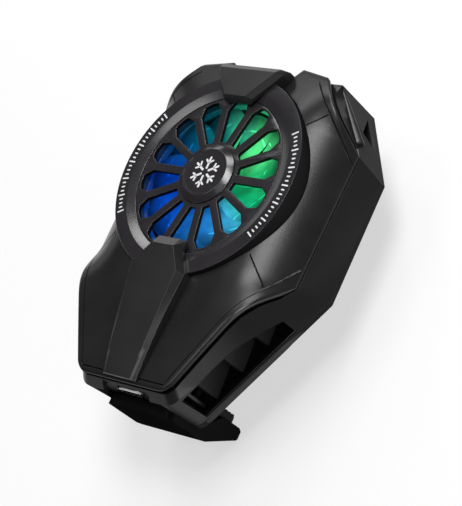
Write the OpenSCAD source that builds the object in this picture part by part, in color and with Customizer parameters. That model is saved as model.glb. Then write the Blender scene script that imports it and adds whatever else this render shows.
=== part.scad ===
// Clip-on cooling fan for a phone.
// +Z points out of the fan face, +Y towards the fixed head claw, +X to the right.
// The origin is where the fan axis meets the face of the contact pad.

/* [Case outline] */
// Ring to the tail edge of the front cover
tail_len = 23.6; // [22.8:0.1:26]
// Side of the clip to the tail corner
tail_margin = 3.4; // [3:0.1:4.5]
// Radius of the tail corners
tail_corner_r = 2.3; // [1.5:0.1:3]
// Ring to the crease of the shoulders
shoulder_margin = 4.8; // [4.4:0.1:7]
// Fan axis to the tail end of the shoulders
shoulder_tail_y = 18.2; // [16:0.1:20]
// Fan axis to the head end of the shoulders
shoulder_head_y = 12.6; // [11:0.1:14]
// Ring to the head edge of the front cover
head_margin = 2.4; // [2.2:0.1:4.2]
// Half width of the head edge
head_half_w = 18.7; // [17.5:0.1:20]
// How far the two ears reach past the head edge
ear_reach = 2.1; // [1:0.1:3]

/* [Front cover] */
// Height of the ring above the deck
ring_rise = 1.1; // [0.8:0.1:1.6]
// Wall of the front cover
cover_t = 1.2; // [1:0.1:1.5]
// Fall of the deck towards the tail edge
tail_fall = 1.55; // [0.8:0.05:2.2]
// Fall of the deck towards the head edge
head_fall = 1.6; // [0.8:0.05:2.2]
// Fall of the deck from its flat middle to the shoulder crease
side_fall = 7.6; // [6.5:0.1:8.5]
// Half width of the flat middle of the deck
flat_half_w = 14.4; // [12:0.1:16]
// Width of the rounding along the cover's edge
edge_round_w = 1; // [0.6:0.1:2]
// Drop of the rounding along the cover's edge
edge_round_h = 0.4; // [0.2:0.05:1]
// Seam between the front cover and the middle frame
seam_gap = 0.65; // [0.3:0.05:0.8]

/* [Middle frame] */
// Wall of the middle frame
frame_wall = 1.6; // [1.2:0.1:2]
// Reach of the sloped strip past the cover at the tail
tail_strip_reach = 1.7; // [1:0.1:2.2]
// Lower edge of the strip below the deck at the tail
strip_drop = 5.1; // [4.5:0.1:5.6]
// Strip to the highest point of the side vents
vent_drop = 0.8; // [0.6:0.1:1.6]
// Lowest point of the strip, where the vents end at the shoulders
vent_end_z = 8.4; // [7.5:0.1:9.5]
// Share of the tail flank that the vent takes
vent_share = 0.81; // [0.7:0.01:0.85]
// Height of the sill under the vents
vent_sill = 0.5; // [0.3:0.1:1]
// Slats in each tail vent
slat_count = 3; // [2:1:4]
// Length of a slat along its own face
slat_len = 8.4; // [6:0.1:9]
// Thickness of a slat
slat_t = 1.1; // [0.8:0.1:1.6]

/* [Back cover and cold plate] */
// Height of the back cover's outer face above the phone
back_z = 1.15; // [0.9:0.05:1.6]
// Thickness of the back cover
back_t = 1.5; // [1.3:0.1:2]
// Thickness of the contact pad
pad_t = 0.8; // [0.5:0.1:0.9]
// Clearance of the cold plate in its window
window_gap = 0.3; // [0.2:0.05:0.5]
// Contact pad past the module on each side
pad_margin = 0.5; // [0.3:0.1:0.8]
// Thickness of the cold plate's flange
cold_flange_t = 0.9; // [0.8:0.1:1.5]

/* [Thermoelectric module and heat sink] */
// Side of the square thermoelectric module
module_w = 30; // [25:0.5:30]
// Thickness of each ceramic plate
ceramic_t = 0.6; // [0.5:0.05:1]
// Height of the pellets
pellet_h = 1.8; // [1.2:0.1:2.4]
// Pellets along one side
pellet_rows = 6; // [4:1:8]
// Heat sink past the cold plate on each side
sink_margin = 0.7; // [0.5:0.1:1.2]
// Thickness of the heat sink's base
sink_base_t = 1.6; // [1.2:0.1:2.4]
// Height of the fins
fin_h = 3.5; // [3:0.1:4]
// Thickness of a fin
fin_t = 0.6; // [0.4:0.05:0.9]
// Number of fins
fin_count = 13; // [9:1:15]

/* [Fan] */
// Clearance of the blade tips in the duct
tip_gap = 0.7; // [0.4:0.05:1.2]
// Radius of the rotor hub
rotor_r = 7.2; // [7:0.1:7.6]
// Number of blades
blade_count = 9; // [7:1:11]
// Radius of the duct around the blades
duct_r = 17.6; // [17.5:0.1:18]
// Height of the duct
duct_h = 3.5; // [3:0.1:4]
// Wall of the duct
duct_wall = 3.7; // [3.6:0.1:3.9]
// Radius of the shaft
shaft_r = 0.75; // [0.6:0.05:1]
// Radial clearance of the shaft in its bearing
bearing_gap = 0.05; // [0.02:0.01:0.08]

/* [Ring, grille and lights] */
// Width of the ring's inner chamfer
ring_chamfer_w = 2.1; // [1.2:0.1:2.6]
// Ring's opening past the petals
ring_lip = 0.6; // [0.4:0.05:1]
// Height of the ring's chamfer
ring_chamfer_h = 0.55; // [0.3:0.05:0.9]
// Petal openings in the grille
petal_count = 14; // [10:1:18]
// Inner radius of the petals
petal_in_r = 7.8; // [7.4:0.1:9]
// Petals past the duct
petal_margin = 0.4; // [0:0.1:0.6]
// Width of the spokes between the petals
spoke_w = 1.8; // [1.2:0.1:2.4]
// Thickness of the grille
grille_t = 1; // [0.8:0.1:1.4]
// Thickness of the grille's hidden flange
grille_flange_t = 1.4; // [1:0.1:1.8]
// Radius of the hub cap
cap_r = 6.9; // [6:0.1:7.4]
// Radius of the hub cap's flat top
cap_top_r = 5.4; // [4.5:0.1:6]
// Height of the hub cap
cap_h = 1.1; // [0.8:0.1:1.6]
// Thickness of the light guide
guide_t = 1.15; // [0.8:0.05:1.6]
// Number of light sources
led_count = 10; // [6:1:12]

/* [Trim] */
// Height of the spine above the ring at its widest
spine_rise = 2.6; // [1.6:0.1:3.2]
// Half width of the spine's top at its widest
spine_half_w = 6.5; // [5:0.1:7.5]
// Half width of the spine's top at the ring end
spine_tip_half_w = 3.05; // [2.4:0.05:3.6]
// Half width of the spine's top at the tail
spine_tail_half_w = 3.55; // [3:0.05:4.5]
// Height of the spine above the deck at the tail
spine_tail_rise = 1.4; // [1:0.1:2]
// Half width of the wedge's top at the head
wedge_half_w = 8; // [6.5:0.1:8.2]
// Half width of the wedge's top at the ring end
wedge_tip_half_w = 2.9; // [2.4:0.05:3.6]
// Height of the wedge above the ring
wedge_rise = 2.2; // [1.4:0.1:3]
// Width of the bevels along the trim
trim_bevel = 1.2; // [0.8:0.1:1.5]

/* [Clip] */
// Travel of the clip
clip_travel = 16; // [10:0.5:16]
// Half width of the clip's end plate
clip_half_w = 9.5; // [9:0.1:9.6]
// Side of the clip to its tongue
tongue_inset = 1.5; // [1:0.1:2]
// Thickness of the clip's tongue
tongue_t = 1.3; // [1:0.1:1.5]
// Top of the clip's end plate
clip_top_z = 10.3; // [9.5:0.1:11]
// Thickness of the clip's end plate
clip_plate_t = 2.4; // [2:0.1:2.8]
// How far the jaws reach below the phone's back
jaw_depth = 11.5; // [10:0.1:13]
// Reach of the clip's jaw under the case
jaw_reach = 4.6; // [4:0.1:5.2]
// Reach of the head claw's jaw under the case
claw_reach = 2; // [1.6:0.1:2.6]
// Thickness of the jaws at their tips
jaw_tip_t = 2.7; // [2.2:0.1:3.2]
// How far the rubber pads stand out of the jaws
jaw_pad_t = 2.3; // [1.6:0.1:2.6]
// Half width of the rubber pads
jaw_pad_half_w = 7.4; // [5:0.1:7.8]
// Teeth on each rubber pad
tooth_count = 4; // [3:1:6]
// Half width of the head claw
claw_half_w = 8; // [7.4:0.1:8.2]
// Gap around the sliding clip
slide_gap = 0.3; // [0.2:0.05:0.35]
// Guide rods in from the side of the tongue
rod_inset = 2.5; // [2.3:0.1:3]
// Springs above the tongue
rod_lift = 0.45; // [0.3:0.05:0.8]
// Radius of the guide rods
rod_r = 0.8; // [0.7:0.05:1]
// Radial clearance of the rods in the carriage
rod_gap = 0.05; // [0.02:0.01:0.08]
// Length of the carriage along the rods
carriage_len = 3; // [2.5:0.1:3.5]

/* [Springs] */
// Mean radius of the spring's turns
spring_r = 1.75; // [1.6:0.05:1.8]
// Diameter of the spring wire
spring_wire = 0.5; // [0.4:0.05:0.5]
// Turns of each spring
spring_turns = 8; // [6:1:9]

/* [Board and socket] */
// Main board above the carriage
board_gap = 1.5; // [0.6:0.1:2]
// Thickness of the boards
board_t = 1; // [0.8:0.1:1.2]
// Width of the USB-C socket
usb_w = 8.94; // [8.8:0.02:9.1]
// Height of the USB-C socket
usb_h = 3.26; // [3.1:0.02:3.4]
// Depth of the USB-C socket
usb_len = 7.4; // [6.5:0.1:9]
// Notch past the socket on each side
usb_notch_margin = 2.35; // [1:0.05:3]

/* [Screws] */
// Radius of the screw shanks
screw_r = 0.75; // [0.6:0.05:0.8]
// Radius of the screw heads
screw_head_r = 1.4; // [1.2:0.1:1.4]
// Height of the screw heads
screw_head_h = 1.1; // [0.8:0.1:1.1]
// Clearance around screws and pegs
screw_gap = 0.05; // [0.03:0.01:0.1]

/* [Hidden] */
$fn = 64;
eps = 0.01;
far = 60;
touch = 0.05;

// Sizes across the fan, from the duct out
blade_r = duct_r - tip_gap;
petal_out_r = duct_r + petal_margin;
ring_open_r = petal_out_r + ring_lip;
ring_flat_r = ring_open_r + ring_chamfer_w;
ring_wall = 1.7;
ring_seat_gap = 0.7;
ring_r = duct_r + duct_wall + ring_seat_gap + ring_wall;
fan_screw_turn = 58;
fan_screw_r = duct_r + duct_wall / 2;
fan_screw_x = fan_screw_r * cos(fan_screw_turn);
fan_screw_y = fan_screw_r * sin(fan_screw_turn);
fan_boss_r = 1.9;

// Sizes across the cold stack, from the module out
clamp_inset = 1.6;
clamp_edge = 1.7;
clamp_xy = module_w / 2 + clamp_inset;
cold_flange_half = clamp_xy + clamp_edge;
pad_w = module_w + 2 * pad_margin;
cold_w = pad_w + 0.6;
sink_w = 2 * max(cold_flange_half + sink_margin, fan_screw_y + fan_boss_r);
ear_r = 2.6;
ear_x = sink_w / 2 + ear_r;

// The case takes its outline from the ring, or from the heat sink where that is larger
case_room = 7.1;
spring_room = 28.3;
tail_half_w = clip_half_w + tail_margin;
tail_y = max(ring_r + tail_len, sink_w / 2 + spring_room);
shoulder_half_w = max(ring_r + shoulder_margin, ear_x + ear_r + 4.2);
head_y = max(ring_r + head_margin, sink_w / 2 + case_room);

// Heights of the stack from the phone up
base_z = back_z + back_t;
cold_top = base_z + cold_flange_t;
pellet_z = cold_top + ceramic_t;
hot_z = pellet_z + pellet_h;
sink_z = hot_z + ceramic_t;
sink_top = sink_z + sink_base_t;
fan_z = sink_top + fin_h;
arm_t = 1;
duct_top = fan_z + duct_h;
led_h = 0.7;
light_board_t = 0.8;
led_z = duct_top + light_board_t;
guide_z = led_z + led_h + touch;
grille_flange_z = guide_z + guide_t + touch;
grille_z = grille_flange_z + grille_flange_t;
grille_top = grille_z + grille_t;
ring_top = grille_top + touch + ring_chamfer_h;
deck_z = ring_top - ring_rise;
tail_strip_z = deck_z - strip_drop;
vent_top_z = tail_strip_z - vent_drop;
seat_r = ring_r - ring_wall;
seat_t = 1.3;
seat_top = fan_z + 2.85;
bezel_screw_r = ring_r - ring_wall / 2;

// Places along the tail and the head
wall_y = tail_y + 0.2;
wall_in_y = wall_y - frame_wall;
head_wall_y = head_y - 0.3;
head_wall_in_y = head_wall_y - frame_wall;
clip_in_y = wall_y + 0.4;
clip_out_y = clip_in_y + clip_plate_t;
claw_in_y = head_wall_y + 0.1;
claw_plate_t = 2;
claw_top_z = 11;
head_wall_top = 15;
bracket_y = sink_w / 2 + 0.5;
bracket_t = 1.4;
carriage_y = bracket_y + bracket_t + 0.5;
spring_y0 = carriage_y + carriage_len + touch;
spring_len = wall_in_y - touch - spring_y0;
tongue_half_w = clip_half_w - tongue_inset;
tongue_z = base_z + slide_gap;
tongue_top = tongue_z + tongue_t;
rod_x = tongue_half_w - rod_inset;
rod_z = tongue_top + rod_lift + spring_r + spring_wire / 2;
carriage_top = rod_z + spring_r + 0.35;
case_boss_r = 1.7;
case_boss_z = 5;
case_bite = 6;
case_screw_at = [[tongue_half_w + slide_gap + case_boss_r, -wall_in_y + case_boss_r + 0.2],
  [claw_half_w + 5.2, head_wall_in_y - case_boss_r - 0.9]];
bezel_bite = 2.6;
board_bite = 3.4;
board_z = carriage_top + board_gap;
board_post_r = 1.6;
board_tail_half_w = tongue_half_w - 0.2;
board_post = [tongue_half_w + slide_gap + board_post_r + 1.6, -ring_r - 3.3];
board_half_w = board_post[0] + 1.3;
board_y0 = ring_r + 1.4;
usb_notch_half_w = usb_w / 2 + usb_notch_margin;
usb_z = board_z + board_t + usb_h / 2;

// The strip on the head flanks is lowest at this share of the flank from the shoulder
head_strip_low = 0.47;
head_strip_low_z = vent_end_z + 0.8;
head_strip_z = 16;

// Half outlines from the tail's middle to the head's middle, one per level of the middle frame
top_outline = [[0, -tail_y], [tail_half_w, -tail_y], [shoulder_half_w, -shoulder_tail_y],
  [shoulder_half_w + 0.5, shoulder_head_y], [head_half_w, head_y], [0, head_y]];
strip_outline = [[0, -tail_y - tail_strip_reach], [tail_half_w + 0.4, -tail_y - tail_strip_reach],
  [shoulder_half_w + 0.15, -shoulder_tail_y + 0.1], [shoulder_half_w + 0.65, shoulder_head_y],
  [head_half_w + 2.1, head_y + 0.2], [0, head_y + 0.2]];
base_outline = [[0, -tail_y - 1.4], [tail_half_w - 2, -tail_y - 1.4], [shoulder_half_w + 1.2,
    -shoulder_tail_y + 1.8],
  [shoulder_half_w + 1.2, shoulder_head_y - 1.2], [head_half_w + 0.5, head_y + 0.7], [0, head_y + 0.7]];

// Stations round half of the frame: edge number, share of that edge, and whether it belongs to the
// rounded corner
flank_steps = 8;
corner_steps = 4;
stations = concat([[0, 0, 0], [0, 0.5, 0]], [for (i = [0:corner_steps]) [1, i / corner_steps, 1]],
  [for (i = [1:flank_steps - 1]) [1, i / flank_steps, 0]], [[1, vent_share, 0]],
  [[2, 0, 0], [2, 0.5, 0]], [for (u = [0, 0.13, 0.3, head_strip_low, 0.65, 0.82]) [3, u, 0]], [[4, 0,
      0], [4, 0.5, 0], [5, 0, 0]]);
sorted_stations = concat([for (s = stations) if (s[0] + s[1] <= 1 || s[2] == 1) s],
  [for (i = [1:20]) let (u = i / 20) each [for (s = stations)
    if (s[0] == 1 && s[2] == 0 && s[1] > u - 0.05 + 0.0001 && s[1] <= u + 0.0001) s]],
  [for (s = stations) if (s[0] > 1) s]);

function lerp(a, b, t) = a + (b - a) * t;
function ramp(t) = let (c = min(1, max(0, t))) c * c * (3 - 2 * c);
function toward(a, b, d) = a + (b - a) * d / norm(b - a);
function bend(a, b, c, t) = lerp(lerp(a, b, t), lerp(b, c, t), t);

// A point of an outline at a station
function outline_at(o, s) = s[2] == 1
  ? bend(toward(o[1], o[0], tail_corner_r), o[1], toward(o[1], o[2], tail_corner_r), s[1])
  : s[0] == 5 ? o[5] : s[0] == 1
    ? lerp(toward(o[1], o[2], tail_corner_r), o[2], s[1]) : lerp(o[s[0]], o[s[0] + 1], s[1]);

// Half width of the front cover at y, with the tail corners rounded
function straight_half_w(y) = lookup(y, [for (i = [1:4]) [top_outline[i][1], top_outline[i][0]]]);
function half_w(y) = let (d = min(tail_corner_r, y + tail_y), r = tail_corner_r)
  straight_half_w(y) - r + sqrt(max(0, r * r - (r - d) * (r - d)));

// Height of the deck, which is flat in the middle and falls to the tail, the head and the shoulders
function shoulder_share(y) = ramp((y + shoulder_tail_y + 13.3) / 13.8) * ramp((head_y - 1.6 - y) / 10.5);
function deck(x, y) = deck_z
  - tail_fall * pow(max(0, (-y - tail_y + 22) / 22), 1.3)
  - head_fall * pow(max(0, (y - head_y + 10.8) / 10.8), 1.5)
  - side_fall * shoulder_share(y) * pow(max(0,
      (abs(x) - flat_half_w) / (shoulder_half_w - flat_half_w)), 2.1);
function skirt(y) = lerp(cover_t, 0.35, shoulder_flat(y));
function shoulder_flat(y) = ramp((y + shoulder_tail_y + 2.5) / 2.5)
  * ramp((shoulder_head_y + 2.5 - y) / 2.5);
function edge_z(p) = deck(p[0], p[1]) - skirt(p[1]);
function edge_w(y) = lerp(edge_round_w, 0.3, shoulder_flat(y));
function edge_drop(e, w, y) = e >= w ? 0
  : lerp(edge_round_h, 0.15, shoulder_flat(y)) * (1 - sqrt(max(0, 1 - pow(1 - e / w, 2))));

// Grid of the front cover: rows along Y, columns across
row_y = concat([for (k = [0, 0.15, 0.5, 1]) -tail_y + k * edge_round_w],
  [for (i = [1:9]) lerp(-tail_y + edge_round_w, -shoulder_tail_y, i / 9)],
  [for (i = [1:4]) lerp(-shoulder_tail_y, shoulder_head_y, i / 4)],
  [for (i = [1:6]) lerp(shoulder_head_y, head_y - edge_round_w, i / 6)],
  [for (k = [0.5, 0.15, 0]) head_y - k * edge_round_w]);
half_cols = [0, 0.27, 0.5, 0.57, 0.72, 0.87, 1, 1.5, 1.85, 2];
cols = concat([for (i = [len(half_cols) - 1:-1:1]) -half_cols[i]], half_cols);
function col_x(c, y) = let (a = abs(c), w = edge_w(y), h = half_w(y))
  sign(c) * (a <= 1 ? a * (h - w) : h - w + (a - 1) * w);
// The ears rise from nothing at the notch to full reach, then fade to the head corner
ear_end = 0.35;
function ear_share(c) = let (a = abs(c)) a <= 0.5 ? 0 : a <= 0.57 ? (a - 0.5) / 0.07
  : a <= 1 ? lerp(1, ear_end, (a - 0.57) / 0.43) : ear_end * (2 - a);
function ear_y(c, y) = y + ear_reach * ear_share(c) * ramp((y - head_y + 6) / 6);
function cover_out(c, y) = let (x = col_x(c, y), e = min(half_w(y) - abs(x), y + tail_y, head_y - y),
    v = ear_y(c, y))
  [x, v, deck(x, v) - edge_drop(e, edge_w(y), y)];
function cover_rim(c, y) = let (x = col_x(c, y), v = ear_y(c, y)) [x, v, edge_z([x, v])];
function cover_in(c, y) = let (x = col_x(c, y) * (1 - cover_t / half_w(y)), v = ear_y(c, y),
  w = v * (1 - cover_t / (v < 0 ? tail_y : head_y))) [x, w, deck(x, w) - cover_t];

// Faces between two equal grids whose edges are joined through a rim loop
// Each cell is split along its flatter diagonal
function grid_faces(points, rows, n, at, flip) = [for (i = [0:rows - 2], j = [0:n - 2])
  let (a = at + i * n + j, b = a + 1, c = a + n, d = c + 1,
    main = abs(points[a][2] - points[d][2]) <= abs(points[b][2] - points[c][2]),
    pair = main ? [[a, d, b], [a, c, d]] : [[a, c, b], [b, c, d]])
  each (flip ? [for (f = pair) [f[0], f[2], f[1]]] : pair)];
function edge_loop(rows, n) = concat([for (j = [0:n - 2]) j], [for (i = [0:rows - 2]) i * n + n - 1],
  [for (j = [n - 1:-1:1]) (rows - 1) * n + j], [for (i = [rows - 1:-1:1]) i * n]);
function band_faces(a, b, flip = false) = [for (k = [0:len(a) - 1]) let (m = (k + 1) % len(a))
  each (flip ? [[a[k], b[m], b[k]], [a[k], a[m], b[m]]] : [[a[k], b[k], b[m]], [a[k], b[m], a[m]]])];

// A solid lofted through rings of points, closed on itself or capped
module loft(rings, loop = false) {
  n = len(rings[0]);
  count = len(rings);
  last = loop ? count - 1 : count - 2;
  sides = [for (i = [0:last], j = [0:n - 1])
    let (k = (i + 1) % count, m = (j + 1) % n, a = i * n + j, b = i * n + m, c = k * n + j, d = k * n + m)
    each [[a, c, d], [a, d, b]]];
  caps = loop ? [] : concat([for (j = [1:n - 2]) [0, j, j + 1]],
    [for (j = [1:n - 2]) let (a = (count - 1) * n) [a, a + j + 1, a + j]]);
  polyhedron([for (r = rings) each r], concat(sides, caps));
}

module ring(r_out, r_in, h) {
  difference() {
    cylinder(r = r_out, h = h);
    translate([0, 0, -eps]) cylinder(r = r_in, h = h + 2 * eps);
  }
}

module at_corners(x, y) {
  for (sx = [-1, 1], sy = [-1, 1]) translate([sx * x, sy * y, 0]) children();
}

module at_sides(x, y) {
  for (sx = [-1, 1]) translate([sx * x, y, 0]) children();
}

module block(x0, x1, y0, y1, z0, z1) {
  translate([x0, y0, z0]) cube([x1 - x0, y1 - y0, z1 - z0]);
}

// A screw with its head's underside at z, pointing down, or up when flipped
module screw(z, len, r = screw_r, up = false) {
  translate([0, 0, z]) mirror([0, 0, up ? 1 : 0]) {
    cylinder(r = screw_head_r, h = screw_head_h);
    translate([0, 0, -len]) cylinder(r = r, h = len + eps);
  }
}

// Things in the X and Z plane pushed along Y
module along_y(y0, y1) {
  translate([0, y1, 0]) rotate([90, 0, 0]) linear_extrude(y1 - y0) children();
}

module along_x(half) {
  rotate([90, 0, 90]) translate([0, 0, -half]) linear_extrude(2 * half) children();
}

module front_cover() {
  rows = len(row_y);
  n = len(cols);
  loop = edge_loop(rows, n);
  outer = [for (y = row_y, c = cols) cover_out(c, y)];
  inner = [for (y = row_y, c = cols) cover_in(c, y)];
  rim = [for (k = loop) let (y = row_y[floor(k / n)], c = cols[k % n]) cover_rim(c, y)];
  rim_ids = [for (k = [0:len(loop) - 1]) 2 * rows * n + k];
  inner_ids = [for (k = loop) rows * n + k];
  points = concat(outer, inner, rim);
  faces = concat(grid_faces(points, rows, n, 0, false), grid_faces(points, rows, n, rows * n, true),
    band_faces(loop, rim_ids), band_faces(rim_ids, inner_ids));
  color([0.13, 0.13, 0.14]) difference() {
    union() {
      polyhedron(points, faces);
      for (p = case_screw_at) for (sx = [-1, 1]) translate([sx * p[0], p[1], case_boss_z])
        cylinder(r = case_boss_r, h = deck(p[0], p[1]) - cover_t / 2 - case_boss_z);
    }
    cylinder(r = ring_r + touch + 0.1, h = far);
    for (p = case_screw_at) for (sx = [-1, 1]) translate([sx * p[0], p[1], case_boss_z - eps])
      cylinder(r = screw_r + screw_gap, h = case_bite + 2);
  }
}

module ring_bezel() {
  color([0.15, 0.15, 0.16]) difference() {
    rotate_extrude() polygon([[ring_open_r, grille_top + touch], [ring_flat_r, ring_top],
        [ring_r - 0.35, ring_top],
      [ring_r, ring_top - 0.35], [ring_r, seat_top], [seat_r, seat_top], [seat_r, grille_z + touch],
      [ring_open_r, grille_z + touch]]);
    for (a = [45:90:315]) rotate(a) translate([bezel_screw_r, 0, seat_top - eps])
        cylinder(r = screw_r - 0.15, h = bezel_bite + 0.4);
  }
}

// One petal opening, pointing along +Y, with its outer corners cut off
module petal() {
  half = 180 / petal_count;
  edge = spoke_w / 2 / cos(half);
  cut_r = petal_out_r - 2.6;
  in_x = petal_in_r * tan(half) - edge;
  cut_x = cut_r * tan(half) - edge;
  out_x = cut_x - 0.9;
  polygon([[-in_x, petal_in_r], [in_x, petal_in_r], [cut_x, cut_r], [out_x, petal_out_r - 0.25], [0,
      petal_out_r],
    [-out_x, petal_out_r - 0.25], [-cut_x, cut_r]]);
}

module fan_grille() {
  color([0.16, 0.16, 0.18]) difference() {
    union() {
      translate([0, 0, grille_flange_z]) ring(seat_r - 0.4, petal_out_r + touch, grille_flange_t + eps);
      translate([0, 0, grille_z]) cylinder(r = ring_open_r - touch, h = grille_t);
    }
    for (i = [0:petal_count - 1]) rotate(i * 360 / petal_count)
      translate([0, 0, grille_z - eps]) linear_extrude(grille_t + 2 * eps) petal();
  }
}

module hub_cap() {
  color([0.2, 0.2, 0.22]) rotate_extrude()
    polygon([[0, grille_top], [cap_r, grille_top], [cap_r, grille_top + 0.3], [cap_top_r,
        grille_top + cap_h],
      [0, grille_top + cap_h]]);
}

// Rings for a trim piece from rows of y, top half width, top height, low half width and low height of
// the bevel
function trim_rings(rows) = [for (r = rows) let (y = r[0], z = deck(0, y) + touch)
  [[-r[3], y, z], [-r[3], y, r[4]], [-r[1], y, r[2]], [r[1], y, r[2]], [r[3], y, r[4]], [r[3], y, z]]];
spine_tip_y = ring_open_r - 0.4;
spine_nose = 2.1;
spine_nose_drop = 1.2;
spine_wide_y = ring_r - 0.5;
spine_end_y = tail_y - 0.15;
spine_top = ring_top + spine_rise;
spine_tail_z = deck(0, -tail_y) + spine_tail_rise;
spine_rows = concat([for (k = [0:6]) let (t = k / 6, y = lerp(spine_end_y - 0.4, spine_wide_y, t),
    w = lerp(spine_tail_half_w, spine_half_w, t), z = lerp(spine_tail_z, spine_top, t))
    [-y, w, z, w + trim_bevel, lerp(deck(0, -y) + spine_tail_rise * 0.4, ring_top + 1, t)]],
  [[-spine_tip_y, spine_tip_half_w, spine_top + 0.2, spine_tip_half_w + trim_bevel, ring_top + 1],
    [-spine_tip_y + spine_nose, spine_tip_half_w, spine_top + 0.2 - spine_nose_drop,
        spine_tip_half_w + trim_bevel, ring_top + 0.8]]);

module ring_clearance() {
  translate([0, 0, -far]) cylinder(r = ring_r + touch, h = far + ring_top + touch);
}

module tail_spine() {
  color([0.17, 0.17, 0.18]) difference() {
    loft(trim_rings(spine_rows));
    ring_clearance();
  }
}

wedge_tip_y = ring_open_r - 0.9;
wedge_wide_y = head_y - 1.9;
wedge_rows = concat([[wedge_tip_y - 0.8, wedge_tip_half_w + 0.1, ring_top + 0.35,
    wedge_tip_half_w + 0.7, ring_top + 0.1]],
  [for (k = [0:3]) let (t = k / 3, y = lerp(wedge_tip_y, wedge_wide_y, t), w = lerp(wedge_tip_half_w,
      wedge_half_w, t))
    [y, w, ring_top + wedge_rise - 0.3 * t, w + trim_bevel, ring_top + 1 - 0.3 * t]],
  [[head_y - 0.7, wedge_half_w + 0.3, ring_top + wedge_rise - 1.2, wedge_half_w + trim_bevel,
      ring_top + 0.4],
    [head_y - 0.15, wedge_half_w + 0.3, ring_top - 0.6, wedge_half_w + trim_bevel, ring_top - 1.1]]);

module head_wedge() {
  color([0.22, 0.22, 0.23]) difference() {
    loft(trim_rings(wedge_rows));
    ring_clearance();
  }
}

// Lower edge of the sloped strip: an arch over the vents that climbs back to the crease at the shoulders
function strip_z(s) = s[0] == 0 || s[2] == 1 ? tail_strip_z
  : s[0] == 1 ? (s[1] <= vent_share + 0.001
    ? vent_top_z - (vent_top_z - vent_end_z) * pow(max(0, (s[1] - 0.2) / (vent_share - 0.2)), 2.5)
    : lerp(vent_end_z, crease_z(2), (s[1] - vent_share) / (1 - vent_share)))
  : s[0] == 2 ? edge_z(outline_at(top_outline, s)) - seam_at(2) - 0.2
  : s[0] == 3 ? (s[1] < 0.14 ? edge_z(outline_at(top_outline, s)) - seam_for(s) - 0.2
    : s[1] < head_strip_low ? lerp(edge_z(top_outline[3]) - 1, head_strip_low_z,
        (s[1] - 0.13) / (head_strip_low - 0.13))
    : min(head_strip_z, lerp(head_strip_low_z, head_strip_z, (s[1] - head_strip_low) / 0.45)))
  : head_strip_z;
// Height of the crease at an outline corner
function crease_z(k) = edge_z(top_outline[k]) - seam_at(2) - 0.2;
function seam_at(k) = k == 2 ? 0.1 : seam_gap;
function seam_for(s) = s[0] == 2 || (s[0] == 3 && s[1] < 0.1) ? seam_at(2)
  : s[0] == 3 && s[1] < 0.2 ? seam_gap / 2 : seam_gap;
function frame_ring(s) = let (a = outline_at(top_outline, s), c = outline_at(strip_outline, s),
    e = outline_at(base_outline, s),
    inward = s[0] >= 4 ? [0, -1] : s[0] == 0 ? [0, 1] : s[2] == 1 ? [-0.6 * s[1], 1 - 0.55 * s[1]]
        : [-0.95, 0])
  [[a[0], a[1], edge_z(a) - seam_for(s)], [c[0], c[1], strip_z(s)], [e[0], e[1], base_z],
    [e[0] + inward[0] * frame_wall, e[1] + inward[1] * frame_wall, base_z],
    [a[0] + inward[0] * frame_wall, a[1] + inward[1] * frame_wall, edge_z(a) - seam_for(s) - 0.2]];
function flip_x(ring) = [for (p = ring) [-p[0], p[1], p[2]]];
right_rings = [for (s = sorted_stations) frame_ring(s)];
left_rings = [for (i = [len(right_rings) - 2:-1:1]) flip_x(right_rings[i])];

// Places along the tail flank, measured on the strip's outline
flank_from = strip_outline[1];
flank_to = strip_outline[2];
flank_len = norm(flank_to - flank_from);
flank_angle = atan2(flank_to[1] - flank_from[1], flank_to[0] - flank_from[0]);
head_from = strip_outline[4];
head_to = strip_outline[3];
head_angle = atan2(head_to[1] - head_from[1], head_to[0] - head_from[0]);
vent_bottom = base_z + vent_sill;

module on_flank(from, angle) {
  translate([from[0], from[1], 0]) rotate(angle) children();
}

module tail_vent() {
  steps = 6;
  top = [for (i = [steps:-1:0]) let (u = lerp(0.06, vent_share - 0.01, i / steps))
    [u * flank_len, strip_z([1, u, 0]) - 0.25]];
  on_flank(flank_from, flank_angle) rotate([90, 0, 0]) translate([0, 0, -6]) linear_extrude(9)
    polygon(concat([[0.06 * flank_len, vent_bottom], [(vent_share - 0.01) * flank_len, vent_bottom]],
        top));
}

module head_vent() {
  len = norm(head_to - head_from);
  on_flank(head_from, head_angle) rotate([90, 0, 0]) translate([0, 0, -3]) linear_extrude(6)
    polygon([[0.1 * len, vent_bottom + 1.65], [0.57 * len, vent_bottom + 1.5], [0.49 * len,
        vent_end_z + 0.4]]);
}

module usb_outline(grow) {
  r = usb_h / 2 + grow;
  flat = usb_w / 2 - usb_h / 2;
  square([2 * flat, 2 * r], center = true);
  for (sx = [-1, 1]) translate([sx * flat, 0]) circle(r = r);
}

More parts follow.
